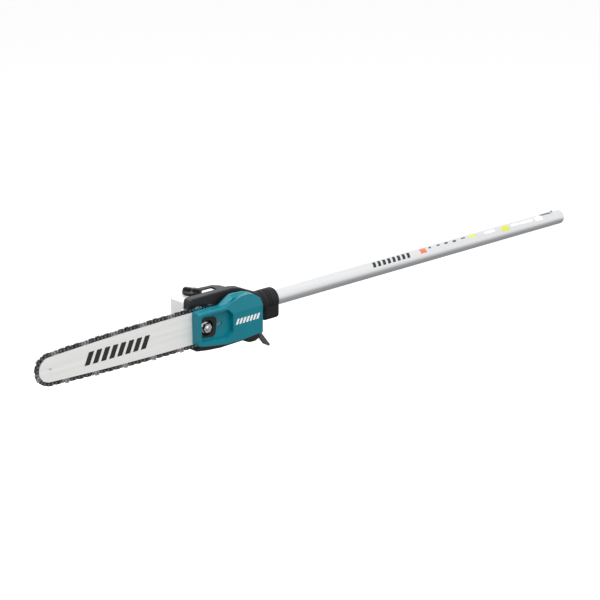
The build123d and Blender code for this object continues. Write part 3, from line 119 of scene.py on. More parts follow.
def angle_setting(name, about, degrees):
    return bpy.props.FloatProperty(
        name=name, description=about, subtype="ANGLE", unit="ROTATION", default=math.radians(degrees))


# ---------------------------------------------------------------- settings
class POLESAW_PG_colours(bpy.types.PropertyGroup):
    """Colours of the finishes and of the printed marks"""

    cover: colour_setting("Cover", "Moulded sprocket cover", (0.0, 0.175, 0.228))
    housing: colour_setting("Housings", "Black housings, guard, cap and insert", (0.011, 0.011, 0.012))
    rubber: colour_setting("Rubber", "Pole collar, gasket and hose", (0.009, 0.009, 0.0095))
    tank: colour_setting("Tank", "Milky oil tank", slot_colour("tank_plastic"))
    nylon: colour_setting("White nylon", "Bushings and filter", slot_colour("white_nylon"))
    tube: colour_setting("Tube", "Drawn aluminium pole", (0.90, 0.91, 0.92))
    casting: colour_setting("Casting", "Cast gear case", slot_colour("cast_aluminium"))
    bar: colour_setting("Bar", "Paint of the guide bar and its nose rivets", slot_colour("bar_steel"))
    chain: colour_setting("Chain", "Oiled chain links", slot_colour("chain_dark_steel"))
    cutters: colour_setting("Cutters", "Chromed cutting links", slot_colour("cutter_chrome"))
    dark_print: colour_setting("Dark print", "Dark stripes and dark blocks", (0.012, 0.012, 0.013))
    light_print: colour_setting("Light print", "Cover stripes and pale labels", (0.90, 0.90, 0.88))
    orange_print: colour_setting("Orange print", "Square block on the pole", (0.72, 0.17, 0.07))
    yellow_print: colour_setting("Yellow print", "Small blocks on the pole", (0.66, 0.66, 0.06))
    floor: colour_setting("Floor", "Plain studio floor", (0.93, 0.93, 0.93))


class POLESAW_PG_marks(bpy.types.PropertyGroup):
    """Sizes of the printed marks"""

    film: length_setting("Film", "Thickness of a printed mark", 0.06)
    lift: length_setting("Lift", "Gap that keeps a mark off the surface under it", 0.02)
    slant: bpy.props.FloatProperty(
        name="Slant", description="Lean of the bar and cover stripes, as a share of their height",
        subtype="FACTOR", default=0.45)
    bar_stripe_width: length_setting("Bar stripe width", "One slanted stripe on the guide bar", 9.0)
    bar_stripe_height: length_setting("Bar stripe height", "Height of the stripes on the guide bar", 19.0)
    bar_stripe_start: length_setting("Bar stripe start", "First stripe's middle, from the bar's nose", 79.0)
    cover_stripe_width: length_setting("Cover stripe width", "One slanted stripe on the cover", 4.2)
    cover_stripe_height: length_setting("Cover stripe height", "Height of the stripes on the cover", 8.5)
    cover_stripe_start: length_setting(
        "Cover stripe start", "First stripe's middle, from the cover's end by the pole", 53.0)
    cover_stripe_drop: length_setting("Cover stripe drop", "Stripes' middle, below the pole's axis", 3.5)
    pole_stripe_width: length_setting("Pole stripe width", "One slanted stripe on the pole", 6.5)
    pole_stripe_start: length_setting("Pole stripe start", "First stripe, from the pole's open end", 487.0)
    pole_stripe_arc: angle_setting("Pole stripe arc", "Part of the pole's round that a stripe covers", 48.0)
    pole_mark_angle: angle_setting("Pole mark angle", "Middle of the marks, up from the cover side", 57.0)


class POLESAW_PG_stage(bpy.types.PropertyGroup):
    """Camera, floor and lights"""

    azimuth: angle_setting("Azimuth", "Camera's turn round the upright axis", -42.19)
    elevation: angle_setting("Elevation", "Camera's height above the horizon", 18.63)
    distance: length_setting("Distance", "Camera to the point it looks at", 2512.4)
    aim: bpy.props.FloatVectorProperty(
        name="Aim", description="Point the camera looks at", subtype="TRANSLATION", unit="LENGTH",
        size=3, default=(-0.6395, 0.0, -0.0167))
    lens: bpy.props.FloatProperty(
        name="Lens", description="Focal length in millimetres on a 36 mm sensor", default=95.36)
    floor_drop: length_setting("Floor drop", "Floor below the lowest point of the object", 260.0)
    floor_size: length_setting("Floor size", "Side of the square floor", 60000.0)
    floor_glow: bpy.props.FloatProperty(
        name="Floor glow", description="Light given off by the floor, to keep it pale", default=0.12)
    key_power: bpy.props.FloatProperty(
        name="Key light", description="Power of the large light above", subtype="POWER", default=26.0)
    fill_power: bpy.props.FloatProperty(
        name="Fill light", description="Power of the light beside the camera", subtype="POWER", default=5.0)
    sky_light: bpy.props.FloatProperty(
        name="Surroundings", description="Strength of the pale surroundings", default=0.92)


# ---------------------------------------------------------------- shader nodes
def feed(tree, value, socket):
    """Links a socket to a socket, or writes a plain value into it."""
    if isinstance(value, bpy.types.NodeSocket):
        tree.links.new(value, socket)
    else:
        socket.default_value = value


def calculate(tree, operation, *values):
    node = tree.nodes.new("ShaderNodeMath")
    node.operation = operation
    for value, socket in zip(values, node.inputs):
        feed(tree, value, socket)
    return node.outputs["Value"]


def calculate_vector(tree, operation, *values):
    node = tree.nodes.new("ShaderNodeVectorMath")
    node.operation = operation
    for value, socket in zip(values, node.inputs):
        feed(tree, value, socket)
    return node.outputs["Value" if operation == "DOT_PRODUCT" else "Vector"]


def noise(tree, place, scale, detail=3.0):
    node = tree.nodes.new("ShaderNodeTexNoise")
    feed(tree, place, node.inputs["Vector"])
    feed(tree, scale, node.inputs["Scale"])
    feed(tree, detail, node.inputs["Detail"])
    return node.outputs["Fac"]


def spread(tree, value, start, end, low=0.0, high=1.0):
    """Maps start..end of a value to low..high, and holds it there."""
    node = tree.nodes.new("ShaderNodeMapRange")
    for label, entry in (
            ("Value", value), ("From Min", start), ("From Max", end), ("To Min", low), ("To Max", high)):
        feed(tree, entry, node.inputs[label])
    return node.outputs["Result"]


def blend_colours(tree, mask, first, second):
    node = tree.nodes.new("ShaderNodeMix")
    node.data_type = "RGBA"
    colour_a, colour_b = [s for s in node.inputs if s.type == "RGBA"]
    feed(tree, mask, node.inputs["Factor"])
    feed(tree, first, colour_a)
    feed(tree, second, colour_b)
    return [s for s in node.outputs if s.type == "RGBA"][0]


def relief(tree, height, strength, depth):
    node = tree.nodes.new("ShaderNodeBump")
    feed(tree, height, node.inputs["Height"])
    feed(tree, strength, node.inputs["Strength"])
    feed(tree, depth, node.inputs["Distance"])
    return node.outputs["Normal"]


def opaque(colour, share=1.0):
    """A colour with its fourth value, made darker or lighter by a share."""
    return tuple(min(1.0, part * share) for part in colour[:3]) + (1.0,)


def new_group(name, inputs, outputs):
    """An empty node group with its named sockets, and its input and output nodes."""
    tree = bpy.data.node_groups.new(name, "ShaderNodeTree")
    for label, kind in inputs:
        tree.interface.new_socket(label, in_out="INPUT", socket_type=kind)
    for label in outputs:
        tree.interface.new_socket(label, in_out="OUTPUT", socket_type=FLOAT)
    return tree, tree.nodes.new("NodeGroupInput").outputs, tree.nodes.new("NodeGroupOutput").inputs


def use_group(tree, name, **values):
    node = tree.nodes.new("ShaderNodeGroup")
    node.node_tree = bpy.data.node_groups[name]
    for label, value in values.items():
        feed(tree, value, node.inputs[label])
    return node.outputs


def build_moulded_grain():
    """Fine spark-eroded texture of a mould, with broad uneven patches of tone."""
    tree, given, result = new_group(
        "moulded_grain", [("Place", VECTOR), ("Grains", FLOAT)], ["Height", "Patches"])
    fine = noise(tree, given["Place"], scale=given["Grains"], detail=2.0)
    broad = noise(tree, given["Place"], scale=38.0, detail=4.0)
    feed(tree, fine, result["Height"])
    feed(tree, spread(tree, broad, start=0.3, end=0.7), result["Patches"])


def build_drawn_lines():
    """Fine lines left by drawing, rolling or turning; Stretch is large across the lines."""
    tree, given, result = new_group(
        "drawn_lines", [("Place", VECTOR), ("Stretch", VECTOR)], ["Height", "Patches"])
    stretched = calculate_vector(tree, "MULTIPLY", given["Place"], given["Stretch"])
    fine = noise(tree, stretched, scale=1.0, detail=4.0)
    wide = noise(tree, stretched, scale=0.16, detail=2.0)
    feed(tree, fine, result["Height"])
    feed(tree, spread(tree, wide, start=0.3, end=0.7), result["Patches"])


def build_edge_wear_and_highlight():
    """Bright edges, partly wear from handling and partly a painted highlight, broken up so that they aren't
    an even line.
    """
    tree, given, result = new_group(
        "edge_wear_and_highlight", [("Place", VECTOR), ("Radius", FLOAT), ("Amount", FLOAT)], ["Mask"])
    rounded = tree.nodes.new("ShaderNodeBevel")
    rounded.samples = 4
    feed(tree, given["Radius"], rounded.inputs["Radius"])
    facing = tree.nodes.new("ShaderNodeNewGeometry").outputs["Normal"]
    sameness = calculate_vector(tree, "DOT_PRODUCT", rounded.outputs["Normal"], facing)
    edge = spread(tree, sameness, start=0.995, end=0.90)
    breaks = noise(tree, given["Place"], scale=240.0, detail=4.0)
    broken = spread(tree, breaks, start=0.38, end=0.62)
    highlit_and_worn = calculate(tree, "MULTIPLY", edge, broken)
    feed(tree, calculate(tree, "MULTIPLY", highlit_and_worn, given["Amount"]), result["Mask"])


def build_scuffs():
    """Sparse hair-thin scratches in two directions, gathered in patches."""
    tree, given, result = new_group("scuffs", [("Place", VECTOR), ("Amount", FLOAT)], ["Mask"])
    turned = tree.nodes.new("ShaderNodeVectorRotate")
    turned.rotation_type = "EULER_XYZ"
    feed(tree, given["Place"], turned.inputs["Vector"])
    turned.inputs["Rotation"].default_value = (0.3, 0.7, 0.2)
    long_in_x = calculate_vector(tree, "MULTIPLY", given["Place"], (60.0, 1500.0, 1100.0))
    long_in_z = calculate_vector(tree, "MULTIPLY", turned.outputs["Vector"], (1400.0, 1100.0, 80.0))
    untouched, scratched = 0.70, 0.76
    first = spread(tree, noise(tree, long_in_x, scale=1.0, detail=1.0), untouched, scratched)
    second = spread(tree, noise(tree, long_in_z, scale=1.0, detail=1.0), untouched, scratched)
    broad = noise(tree, given["Place"], scale=45.0, detail=2.0)
    patches = spread(tree, broad, start=0.45, end=0.65)
    either = calculate(tree, "MAXIMUM", first, second)
    gathered = calculate(tree, "MULTIPLY", either, patches)
    feed(tree, calculate(tree, "MULTIPLY", gathered, given["Amount"]), result["Mask"])


def build_oil_film():
    """Oil that has crept over the metal in blots and runs."""
    tree, given, result = new_group("oil_film", [("Place", VECTOR), ("Amount", FLOAT)], ["Mask"])
    creep = noise(tree, given["Place"], scale=130.0, detail=4.0)
    blots = spread(tree, creep, start=0.42, end=0.60)
    feed(tree, calculate(tree, "MULTIPLY", blots, given["Amount"]), result["Mask"])


# ---------------------------------------------------------------- finishes
def start_finish(name):
    """A new material, its nodes, its shader and the piece's own coordinates."""
    material = bpy.data.materials.new(name)
    material.use_nodes = True
    tree = material.node_tree
    place = tree.nodes.new("ShaderNodeTexCoord").outputs["Object"]
    return material, tree, tree.nodes["Principled BSDF"], place


def moulded_finish(name, colour, grains, gloss, lighter=1.3, highlit_and_worn=2.2, wear_and_highlight=0.5, bump=0.25, shine=0.35):
    """Moulded plastic or rubber: grain, patches of tone, faint scuffs, and edges lightened by wear and
    painted highlight.

    Lighter, and the share that lightens worn and highlighted places, are shares of the colour; gloss is the
    roughness of the smoothest places.
    """
    patch_rise, rubbed_rise = 0.08, 0.15
    # Lifts the colour of edges and scuffs, so that black edges are lightened too, partly as painted highlight
    lift_of_black = 0.01
    material, tree, shader, place = start_finish(name)
    grain = use_group(tree, "moulded_grain", Place=place, Grains=grains)
    edges = use_group(tree, "edge_wear_and_highlight", Place=place, Radius=0.5 * MM, Amount=wear_and_highlight)
    scuffs = use_group(tree, "scuffs", Place=place, Amount=wear_and_highlight)
    edges_and_scuffs = calculate(tree, "MAXIMUM", edges["Mask"], scuffs["Mask"])
    tone = blend_colours(tree, grain["Patches"], opaque(colour), opaque(colour, lighter))
    # Edges and scuffs take this lighter colour: the scuffs are wear, the edges partly wear and partly a
    # painted highlight
    pale = opaque([part * highlit_and_worn + lift_of_black for part in colour])
    feed(tree, blend_colours(tree, edges_and_scuffs, tone, pale), shader.inputs["Base Color"])
    smooth = spread(tree, grain["Patches"], 0.0, 1.0, low=gloss, high=gloss + patch_rise)
    rough = spread(tree, edges_and_scuffs, 0.0, 1.0, low=smooth, high=gloss + rubbed_rise)
    feed(tree, rough, shader.inputs["Roughness"])
    feed(tree, relief(tree, grain["Height"], bump, 0.05 * MM), shader.inputs["Normal"])
    shader.inputs["Specular IOR Level"].default_value = shine
    return material


def metal_finish(name, colour, stretch, gloss, bump=0.2, darker=0.82, shine=1.5, wear_and_highlight=0.6, oil=0.0):
    """Bare or plated metal: directional lines, edges brighter by wear and painted highlight, and an oil film.
    """
    film_gloss = 0.16
    brown_share = (0.42, 0.36, 0.28)
    material, tree, shader, place = start_finish(name)
    lines = use_group(tree, "drawn_lines", Place=place, Stretch=stretch)
    edges = use_group(tree, "edge_wear_and_highlight", Place=place, Radius=0.35 * MM, Amount=wear_and_highlight)
    film = use_group(tree, "oil_film", Place=place, Amount=oil)
    tone = blend_colours(tree, lines["Patches"], opaque(colour, darker), opaque(colour))
    # Edges are painted brighter by the share shine, partly as wear and partly as a painted highlight for edge
    # glints
    bright = blend_colours(tree, edges["Mask"], tone, opaque(colour, shine))
    stained = opaque([part * share for part, share in zip(colour, brown_share)])
    feed(tree, blend_colours(tree, film["Mask"], bright, stained), shader.inputs["Base Color"])
    smooth = spread(tree, lines["Height"], 0.3, 0.7, low=gloss - 0.05, high=gloss + 0.07)
    rough = spread(tree, film["Mask"], 0.0, 1.0, low=smooth, high=film_gloss)
    feed(tree, rough, shader.inputs["Roughness"])
    feed(tree, relief(tree, lines["Height"], bump, 0.03 * MM), shader.inputs["Normal"])
    shader.inputs["Metallic"].default_value = 1.0
    return material


def painted_finish(name, colour, bare, stretch, gloss, wear_and_highlight=0.6, radius=0.6, bump=0.15):
    """Paint or black oxide over metal: the bare metal shows at edges and scratches."""
    bare_gloss = 0.3
    material, tree, shader, place = start_finish(name)
    lines = use_group(tree, "drawn_lines", Place=place, Stretch=stretch)
    edges = use_group(tree, "edge_wear_and_highlight", Place=place, Radius=radius * MM, Amount=wear_and_highlight)
    scuffs = use_group(tree, "scuffs", Place=place, Amount=wear_and_highlight * 0.7)
    edges_and_scuffs = calculate(tree, "MAXIMUM", edges["Mask"], scuffs["Mask"])
    tone = blend_colours(tree, lines["Patches"], opaque(colour, 0.95), opaque(colour, 1.03))
    feed(tree, blend_colours(tree, edges_and_scuffs, tone, opaque(bare)), shader.inputs["Base Color"])
    smooth = spread(tree, lines["Height"], 0.3, 0.7, low=gloss - 0.04, high=gloss + 0.05)
    rough = spread(tree, edges_and_scuffs, 0.0, 1.0, low=smooth, high=bare_gloss)
    feed(tree, rough, shader.inputs["Roughness"])
    feed(tree, edges_and_scuffs, shader.inputs["Metallic"])
    feed(tree, relief(tree, lines["Height"], bump, 0.03 * MM), shader.inputs["Normal"])
    return material


def film_finish(name, colour):
    """Printed film: slightly uneven ink with a fine gloss grain."""
    gloss = 0.42
    material, tree, shader, place = start_finish(name)
    grain = use_group(tree, "moulded_grain", Place=place, Grains=2600.0)
    scuffs = use_group(tree, "scuffs", Place=place, Amount=0.25)
    tone = blend_colours(tree, grain["Patches"], opaque(colour, 0.94), opaque(colour, 1.05))
    scratched = opaque([0.5 * part + 0.3 for part in colour])
    feed(tree, blend_colours(tree, scuffs["Mask"], tone, scratched), shader.inputs["Base Color"])
    rough = spread(tree, grain["Height"], 0.3, 0.7, low=gloss - 0.05, high=gloss + 0.05)
    feed(tree, rough, shader.inputs["Roughness"])
    feed(tree, relief(tree, grain["Height"], 0.1, 0.02 * MM), shader.inputs["Normal"])
    return material


def dress(finish_name, material):
    """Puts a material on every node that wears the named finish."""
    for node in FINISH_NODES[finish_name]:
        piece = frame["nodes"][node]
        if not piece.material_slots:
            piece.data.materials.append(material)
        for slot in piece.material_slots:
            slot.material = material


# ---------------------------------------------------------------- shaping by hand
def select_only(*pieces):
    bpy.ops.object.select_all(action="DESELECT")
    for piece in pieces:
        piece.select_set(True)
    bpy.context.view_layer.objects.active = pieces[0]


def apply_place(piece):
    select_only(piece)
    bpy.ops.object.transform_apply(location=True, rotation=True, scale=True)


def pick(piece, kind, wanted):
    """Selects the faces, edges or vertices of a piece in edit mode that pass a test, and no others."""
    bpy.ops.mesh.select_mode(type=kind)
    bpy.ops.mesh.select_all(action="DESELECT")
    shape = bmesh.from_edit_mesh(piece.data)
    parts = {"FACE": shape.faces, "EDGE": shape.edges, "VERT": shape.verts}[kind]
    for part in parts:
        part.select_set(wanted(part))
    bmesh.update_edit_mesh(piece.data)


def slanted_plate(centre, width, height, film, slant, corner):
    """A thin upright plate in the XZ plane, its top pushed along X and its corners rounded."""
    bpy.ops.object.select_all(action="DESELECT")
    bpy.ops.mesh.primitive_cube_add(size=1.0, location=centre, scale=(width, film, height))
    piece = bpy.context.active_object
    apply_place(piece)
    bpy.ops.object.mode_set(mode="EDIT")
    pick(piece, "VERT", lambda vertex: vertex.co.z > centre[2])
    bpy.ops.transform.translate(value=(slant, 0.0, 0.0))
    pick(piece, "EDGE", lambda edge: abs(edge.verts[0].co.y - edge.verts[1].co.y) > film / 2)
    bpy.ops.mesh.bevel(offset=corner, segments=4, affect="EDGES")
    bpy.ops.object.mode_set(mode="OBJECT")
    return piece


def tube_patch(x_from, x_to, low_angle, high_angle, slant, marks):
    """A thin patch that lies round the pole, between two angles up from the cover side.

    Its rows of points are pushed along X one after another, so that its ends slant.
    """
    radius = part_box("pole_tube")[1].y + marks.lift
    steps = 12
    tube_sides = round(math.tau / (high_angle - low_angle) * steps)
    step = (high_angle - low_angle) / steps
    bpy.ops.object.select_all(action="DESELECT")
    bpy.ops.mesh.primitive_cylinder_add(
        vertices=tube_sides, radius=radius, depth=x_to - x_from, end_fill_type="NOTHING",
        location=((x_from + x_to) / 2, 0.0, 0.0), rotation=(0.0, math.pi / 2, 0.0))
    piece = bpy.context.active_object
    apply_place(piece)

    def angle(point):
        return math.atan2(point.z, -point.y)

    bpy.ops.object.mode_set(mode="EDIT")
    pick(piece, "FACE", lambda face: not low_angle < angle(face.calc_center_median()) < high_angle)
    bpy.ops.mesh.delete(type="FACE")
    for row in range(steps):
        edge_angle = low_angle + (row + 0.25) * step
        pick(piece, "VERT", lambda vertex: angle(vertex.co) > edge_angle)
        bpy.ops.transform.translate(value=(slant / steps, 0.0, 0.0))
    bpy.ops.object.mode_set(mode="OBJECT")
    thicken = piece.modifiers.new("film", "SOLIDIFY")
    thicken.thickness = marks.film
    thicken.offset = 1.0
    bpy.ops.object.modifier_apply(modifier=thicken.name)
    bpy.ops.object.shade_smooth_by_angle(angle=math.radians(30.0))
    return piece


def row_of(piece, count, pitch):
    """Copies a piece along X, each copy with its own mesh, and joins them into one."""
    row = [piece]
    for place in range(1, count):
        copy = piece.copy()
        copy.data = piece.data.copy()
        copy.location.x = place * pitch
        bpy.context.collection.objects.link(copy)
        apply_place(copy)
        row.append(copy)
    select_only(*row)
    bpy.ops.object.join()
    return piece


def joined(pieces):
    select_only(*pieces)
    bpy.ops.object.join()
    return pieces[0]


def finish_piece(piece, name, material, body):
    """Names a new piece, gives it its material and lets it ride its body."""
    piece.name = name
    piece.data.name = name
    piece.data.materials.clear()
    piece.data.materials.append(material)
    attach(piece, body)


# ---------------------------------------------------------------- operators
class POLESAW_OT_node_groups(bpy.types.Operator):
    """Build the node groups that the finishes share"""

    bl_idname = "polesaw.node_groups"
    bl_label = "Shared effects"

    def execute(self, context):
        build_moulded_grain()
        build_drawn_lines()
        build_edge_wear_and_highlight()
        build_scuffs()
        build_oil_film()
        return {"FINISHED"}


class POLESAW_OT_moulded_finishes(bpy.types.Operator):
    """Put their finish on the moulded cover, housings, collar, cap and bushings"""

    bl_idname = "polesaw.moulded_finishes"
    bl_label = "Plastic and rubber"

    def execute(self, context):
        colours = context.scene.polesaw_colours
        dress("teal cover nylon", moulded_finish(
            "teal cover nylon", colours.cover, grains=1900.0, gloss=0.30, lighter=1.10, highlit_and_worn=1.5))
        dress("black housing nylon", moulded_finish(
            "black housing nylon", colours.housing, grains=1500.0, gloss=0.42))
        dress("black fitting nylon", moulded_finish(
            "black fitting nylon", colours.housing, grains=2200.0, gloss=0.38))
        dress("moulded rubber", moulded_finish(
            "moulded rubber", colours.rubber, grains=1200.0, gloss=0.55, bump=0.4, shine=0.25))
        dress("white nylon", moulded_finish(
            "white nylon", colours.nylon, grains=2000.0, gloss=0.45, lighter=1.05, highlit_and_worn=1.0, wear_and_highlight=0.2))
        return {"FINISHED"}


class POLESAW_OT_tank_finish(bpy.types.Operator):
    """Put milky translucent plastic on the oil tank"""

    bl_idname = "polesaw.tank_finish"
    bl_label = "Oil tank"

    def execute(self, context):
        colours = context.scene.polesaw_colours
        material = moulded_finish(
            "milky tank", colours.tank, grains=1300.0, gloss=0.38, lighter=1.05, highlit_and_worn=1.0, wear_and_highlight=0.2)
        shader = material.node_tree.nodes["Principled BSDF"]
        shader.inputs["Subsurface Weight"].default_value = 0.5
        shader.inputs["Subsurface Radius"].default_value = (1.0, 0.95, 0.85)
        shader.inputs["Subsurface Scale"].default_value = 3.0 * MM
        dress("milky tank", material)
        return {"FINISHED"}


class POLESAW_OT_metal_finishes(bpy.types.Operator):
    """Put their finish on the tube, gear case, shafts, bearings, fasteners and plates"""

    bl_idname = "polesaw.metal_finishes"
    bl_label = "Bare and plated metal"

    def execute(self, context):
        colours = context.scene.polesaw_colours
        # Noise stretches, in patterns per metre: small along the lines, large across them
        along_x = (14.0, 1600.0, 1600.0)
        round_x = (2600.0, 60.0, 60.0)
        round_y = (60.0, 2600.0, 60.0)
        round_z = (60.0, 60.0, 2600.0)
        even = (2200.0, 2200.0, 2200.0)
        steel = slot_colour("machined_steel")
        # Finish, colour, stretch of its lines, roughness, bump and share of oil film
        metals = (
            ("cast aluminium", colours.casting, even, 0.50, 0.45, 0.3),
            ("steel turned along the pole", steel, round_x, 0.28, 0.15, 0.3),
            ("steel turned across the pole", steel, round_y, 0.28, 0.15, 0.3),
            ("locating pin steel", steel, round_z, 0.25, 0.12, 0.0),
            ("phosphated spring steel", slot_colour("spring_steel"), round_y, 0.42, 0.2, 0.3),
            ("bright zinc plate", slot_colour("zinc_plated_steel"), round_y, 0.22, 0.1, 0.1),
            ("rolled plate", slot_colour("plate_steel"), along_x, 0.36, 0.15, 0.4),
            ("peened rivet steel", slot_colour("chain_rivet_steel"), round_y, 0.34, 0.2, 0.5),
            ("sintered metal", slot_colour("pump_metal"), even, 0.55, 0.4, 0.3),
        )
        for name, colour, stretch, gloss, bump, oil in metals:
            dress(name, metal_finish(name, colour, stretch, gloss, bump=bump, oil=oil))
        dress("drawn aluminium tube", metal_finish(
            "drawn aluminium tube", colours.tube, along_x, gloss=0.33, bump=0.1, darker=0.93, shine=1.1))
        return {"FINISHED"}


class POLESAW_OT_chain_finishes(bpy.types.Operator):
    """Put their finish on the chain's links and cutters"""

    bl_idname = "polesaw.chain_finishes"
    bl_label = "Saw chain"

    def execute(self, context):
        colours = context.scene.polesaw_colours
        rolled = (900.0, 1800.0, 1400.0)
        # The links' edges are painted far brighter than the dark steel: painted glints as well as wear
        dress("oiled chain steel", metal_finish(
            "oiled chain steel", colours.chain, rolled, gloss=0.36, darker=0.7, shine=3.4, wear_and_highlight=0.8, oil=0.7))
        dress("chromed cutters", metal_finish(
            "chromed cutters", colours.cutters, rolled, gloss=0.24, bump=0.1, shine=1.5, wear_and_highlight=0.9, oil=0.12))
        return {"FINISHED"}


class POLESAW_OT_painted_finishes(bpy.types.Operator):
    """Put their finish on the painted bar, the coated hook and the black screws"""

    bl_idname = "polesaw.painted_finishes"
    bl_label = "Painted and coated metal"

    def execute(self, context):
        colours = context.scene.polesaw_colours
        steel = slot_colour("machined_steel")
        ground = (24.0, 900.0, 1300.0)
        even = (1500.0, 1500.0, 1500.0)
        dress("light grey bar paint", painted_finish(
            "light grey bar paint", colours.bar, steel, ground, gloss=0.36, wear_and_highlight=0.55, radius=0.9))
        dress("black coated hook", painted_finish(
            "black coated hook", slot_colour("hook_steel"), steel, even, gloss=0.42, wear_and_highlight=0.6))
        dress("black oxide screws", painted_finish(
            "black oxide screws", slot_colour("black_screw_steel"), steel, even, gloss=0.38,
            wear_and_highlight=0.7, radius=0.3))
        return {"FINISHED"}


class POLESAW_OT_bar_stripes(bpy.types.Operator):
    """Make the slanted stripes printed on the guide bar"""

    bl_idname = "polesaw.bar_stripes"
    bl_label = "Stripes on the bar"

    def execute(self, context):
        marks = context.scene.polesaw_marks
        colours = context.scene.polesaw_colours
        low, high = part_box("guide_bar")
        face_y = low.y - marks.lift - marks.film / 2
        centre = (low.x + marks.bar_stripe_start, face_y, (low.z + high.z) / 2)
        stripe = slanted_plate(
            centre, marks.bar_stripe_width, marks.bar_stripe_height, marks.film,
            slant=marks.bar_stripe_height * marks.slant, corner=0.8 * MM)
        row = row_of(stripe, count=8, pitch=marks.bar_stripe_width * 1.55)
        print_finish = film_finish("dark print on the bar", colours.dark_print)
        finish_piece(row, "bar_stripes", print_finish, "bar_group")
        return {"FINISHED"}


class POLESAW_OT_cover_stripes(bpy.types.Operator):
    """Make the slanted stripes printed on the sprocket cover"""

    bl_idname = "polesaw.cover_stripes"
    bl_label = "Stripes on the cover"

    def execute(self, context):
        marks = context.scene.polesaw_marks
        colours = context.scene.polesaw_colours
        low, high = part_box("sprocket_cover")
        face_y = low.y - marks.lift - marks.film / 2
        centre = (high.x - marks.cover_stripe_start, face_y, -marks.cover_stripe_drop)
        stripe = slanted_plate(
            centre, marks.cover_stripe_width, marks.cover_stripe_height, marks.film,
            slant=marks.cover_stripe_height * marks.slant, corner=0.4 * MM)
        row = row_of(stripe, count=7, pitch=marks.cover_stripe_width * 1.6)
        print_finish = film_finish("light print on the cover", colours.light_print)
        finish_piece(row, "cover_stripes", print_finish, "head")
        return {"FINISHED"}


class POLESAW_OT_pole_stripes(bpy.types.Operator):
    """Make the row of slanted stripes printed on the pole"""

    bl_idname = "polesaw.pole_stripes"
    bl_label = "Stripes on the pole"

    def execute(self, context):
        marks = context.scene.polesaw_marks
        colours = context.scene.polesaw_colours
        half = marks.pole_stripe_arc / 2
        start = -marks.pole_stripe_start
        stripe = tube_patch(
            start, start + marks.pole_stripe_width, marks.pole_mark_angle - half,
            marks.pole_mark_angle + half, marks.pole_stripe_width * 0.6, marks)
        row = row_of(stripe, count=8, pitch=marks.pole_stripe_width * 1.75)
        print_finish = film_finish("dark print on the pole", colours.dark_print)
        finish_piece(row, "pole_stripes", print_finish, "head")
        return {"FINISHED"}


class POLESAW_OT_pole_blocks(bpy.types.Operator):
    """Make the plain coloured blocks and label strips on the pole"""

    bl_idname = "polesaw.pole_blocks"
    bl_label = "Blocks on the pole"

    def execute(self, context):
        marks = context.scene.polesaw_marks
        colours = context.scene.polesaw_colours
        # Each block: its two ends along the pole in millimetres from the open end, then its
        # two edges round the pole in degrees from the middle of the marks
        groups = (
            ("pole_orange_block", colours.orange_print, ((-374.0, -360.0, -22.0, 22.0),)),
            ("pole_dark_blocks", colours.dark_print, (
                (-351.0, -346.0, 4.0, 20.0), (-331.0, -324.0, 6.0, 20.0), (-312.0, -304.0, 4.0, 20.0),
                (-292.0, -284.0, 0.0, 18.0), (-270.0, -260.0, 8.0, 20.0))),
            ("pole_yellow_blocks", colours.yellow_print, (
                (-252.0, -232.0, -2.0, 20.0), (-168.0, -149.0, -28.0, 22.0))),
            ("pole_pale_labels", colours.light_print, (
                (-212.0, -186.0, -8.0, 14.0), (-141.0, -121.0, -8.0, 14.0), (-117.0, -83.0, -12.0, 14.0),
                (-76.0, -57.0, -22.0, 20.0))),
        )
        for name, colour, patches in groups:
            pieces = [self.make_block(patch, marks) for patch in patches]
            print_finish = film_finish(name.replace("_", " "), colour)
            finish_piece(joined(pieces), name, print_finish, "head")
        return {"FINISHED"}

    def make_block(self, patch, marks):
        x_from, x_to, low, high = patch
        return tube_patch(
            x_from * MM, x_to * MM, marks.pole_mark_angle + math.radians(low),
            marks.pole_mark_angle + math.radians(high), slant=1.5 * MM, marks=marks)


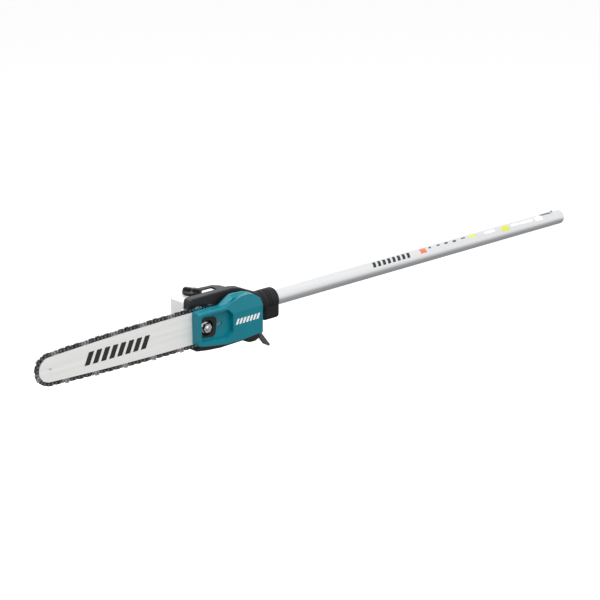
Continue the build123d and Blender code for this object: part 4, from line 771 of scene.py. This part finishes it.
class POLESAW_OT_stage(bpy.types.Operator):
    """Make the floor, the surroundings, the lights and the camera"""

    bl_idname = "polesaw.stage"
    bl_label = "Stage"

    def execute(self, context):
        stage = context.scene.polesaw_stage
        colours = context.scene.polesaw_colours
        self.make_floor(stage, colours)
        self.make_surroundings(context, stage)
        self.make_light("key light", Vector((-0.5, -0.7, 1.9)), size=1.5, power=stage.key_power)
        self.make_light("fill light", Vector((-1.5, -1.9, 0.5)), size=1.2, power=stage.fill_power)
        self.make_light("back light", Vector((0.6, 1.7, 1.2)), size=1.2, power=stage.fill_power)
        self.make_camera(context, stage)
        context.scene.view_settings.view_transform = "Standard"
        return {"FINISHED"}

    def make_floor(self, stage, colours):
        bpy.ops.object.select_all(action="DESELECT")
        bpy.ops.mesh.primitive_plane_add(
            size=stage.floor_size, location=(0.0, 0.0, cad_low.z - stage.floor_drop))
        floor = bpy.context.active_object
        floor.name = "floor"
        material, tree, shader, place = start_finish("studio floor")
        uneven = noise(tree, place, scale=0.6, detail=2.0)
        tone = blend_colours(tree, uneven, opaque(colours.floor, 0.99), opaque(colours.floor))
        feed(tree, tone, shader.inputs["Base Color"])
        shader.inputs["Roughness"].default_value = 0.9
        shader.inputs["Emission Color"].default_value = opaque(colours.floor)
        shader.inputs["Emission Strength"].default_value = stage.floor_glow
        floor.data.materials.append(material)
        floor.visible_diffuse = False
        floor.visible_glossy = False

    def make_surroundings(self, context, stage):
        """White above and around, darker below, so that undersides keep their shape."""
        world = bpy.data.worlds.new("pale studio")
        world.use_nodes = True
        tree = world.node_tree
        direction = tree.nodes.new("ShaderNodeTexCoord").outputs["Generated"]
        split = tree.nodes.new("ShaderNodeSeparateXYZ")
        feed(tree, direction, split.inputs["Vector"])
        height = spread(tree, split.outputs["Z"], start=-0.5, end=0.05)
        below, above = (0.32, 0.32, 0.33, 1.0), (1.0, 1.0, 1.0, 1.0)
        tone = blend_colours(tree, height, below, above)
        feed(tree, tone, tree.nodes["Background"].inputs["Color"])
        tree.nodes["Background"].inputs["Strength"].default_value = stage.sky_light
        context.scene.world = world

    def make_light(self, name, offset, size, power):
        """A square light, offset from the middle of the saw and turned to face it."""
        bpy.ops.object.select_all(action="DESELECT")
        centre = (cad_low + cad_high) / 2
        turn = (-offset).to_track_quat("-Z", "Y").to_euler()
        bpy.ops.object.light_add(type="AREA", location=centre + offset, rotation=turn)
        light = bpy.context.active_object
        light.name = name
        light.data.size = size
        light.data.energy = power

    def make_camera(self, context, stage):
        level = math.cos(stage.elevation)
        back = Vector((
            math.sin(stage.azimuth) * level, -math.cos(stage.azimuth) * level, math.sin(stage.elevation)))
        bpy.ops.object.select_all(action="DESELECT")
        bpy.ops.object.camera_add(
            location=Vector(stage.aim) + back * stage.distance,
            rotation=(math.pi / 2 - stage.elevation, 0.0, stage.azimuth))
        camera = bpy.context.active_object
        camera.name = "camera"
        camera.data.lens = stage.lens
        context.scene.camera = camera


class POLESAW_PT_panel(bpy.types.Panel):
    """Lists the steps that dress the saw"""

    bl_label = "Pole saw"
    bl_idname = "POLESAW_PT_panel"
    bl_space_type = "VIEW_3D"
    bl_region_type = "UI"
    bl_category = "Pole saw"

    def draw(self, context):
        for operator in OPERATORS:
            self.layout.operator(operator.bl_idname)


OPERATORS = (
    POLESAW_OT_node_groups,
    POLESAW_OT_moulded_finishes,
    POLESAW_OT_tank_finish,
    POLESAW_OT_metal_finishes,
    POLESAW_OT_chain_finishes,
    POLESAW_OT_painted_finishes,
    POLESAW_OT_bar_stripes,
    POLESAW_OT_cover_stripes,
    POLESAW_OT_pole_stripes,
    POLESAW_OT_pole_blocks,
    POLESAW_OT_stage,
)
GROUPS = (
    ("polesaw_colours", POLESAW_PG_colours),
    ("polesaw_marks", POLESAW_PG_marks),
    ("polesaw_stage", POLESAW_PG_stage),
)


def register():
    for name, group in GROUPS:
        bpy.utils.register_class(group)
        setattr(bpy.types.Scene, name, bpy.props.PointerProperty(type=group))
    for operator in OPERATORS:
        bpy.utils.register_class(operator)
    bpy.utils.register_class(POLESAW_PT_panel)


def unregister():
    bpy.utils.unregister_class(POLESAW_PT_panel)
    for operator in reversed(OPERATORS):
        bpy.utils.unregister_class(operator)
    for name, group in reversed(GROUPS):
        delattr(bpy.types.Scene, name)
        bpy.utils.unregister_class(group)


def main():
    register()
    for operator in OPERATORS:
        getattr(bpy.ops.polesaw, operator.bl_idname.split(".")[1])()


if __name__ == "__main__":
    main()
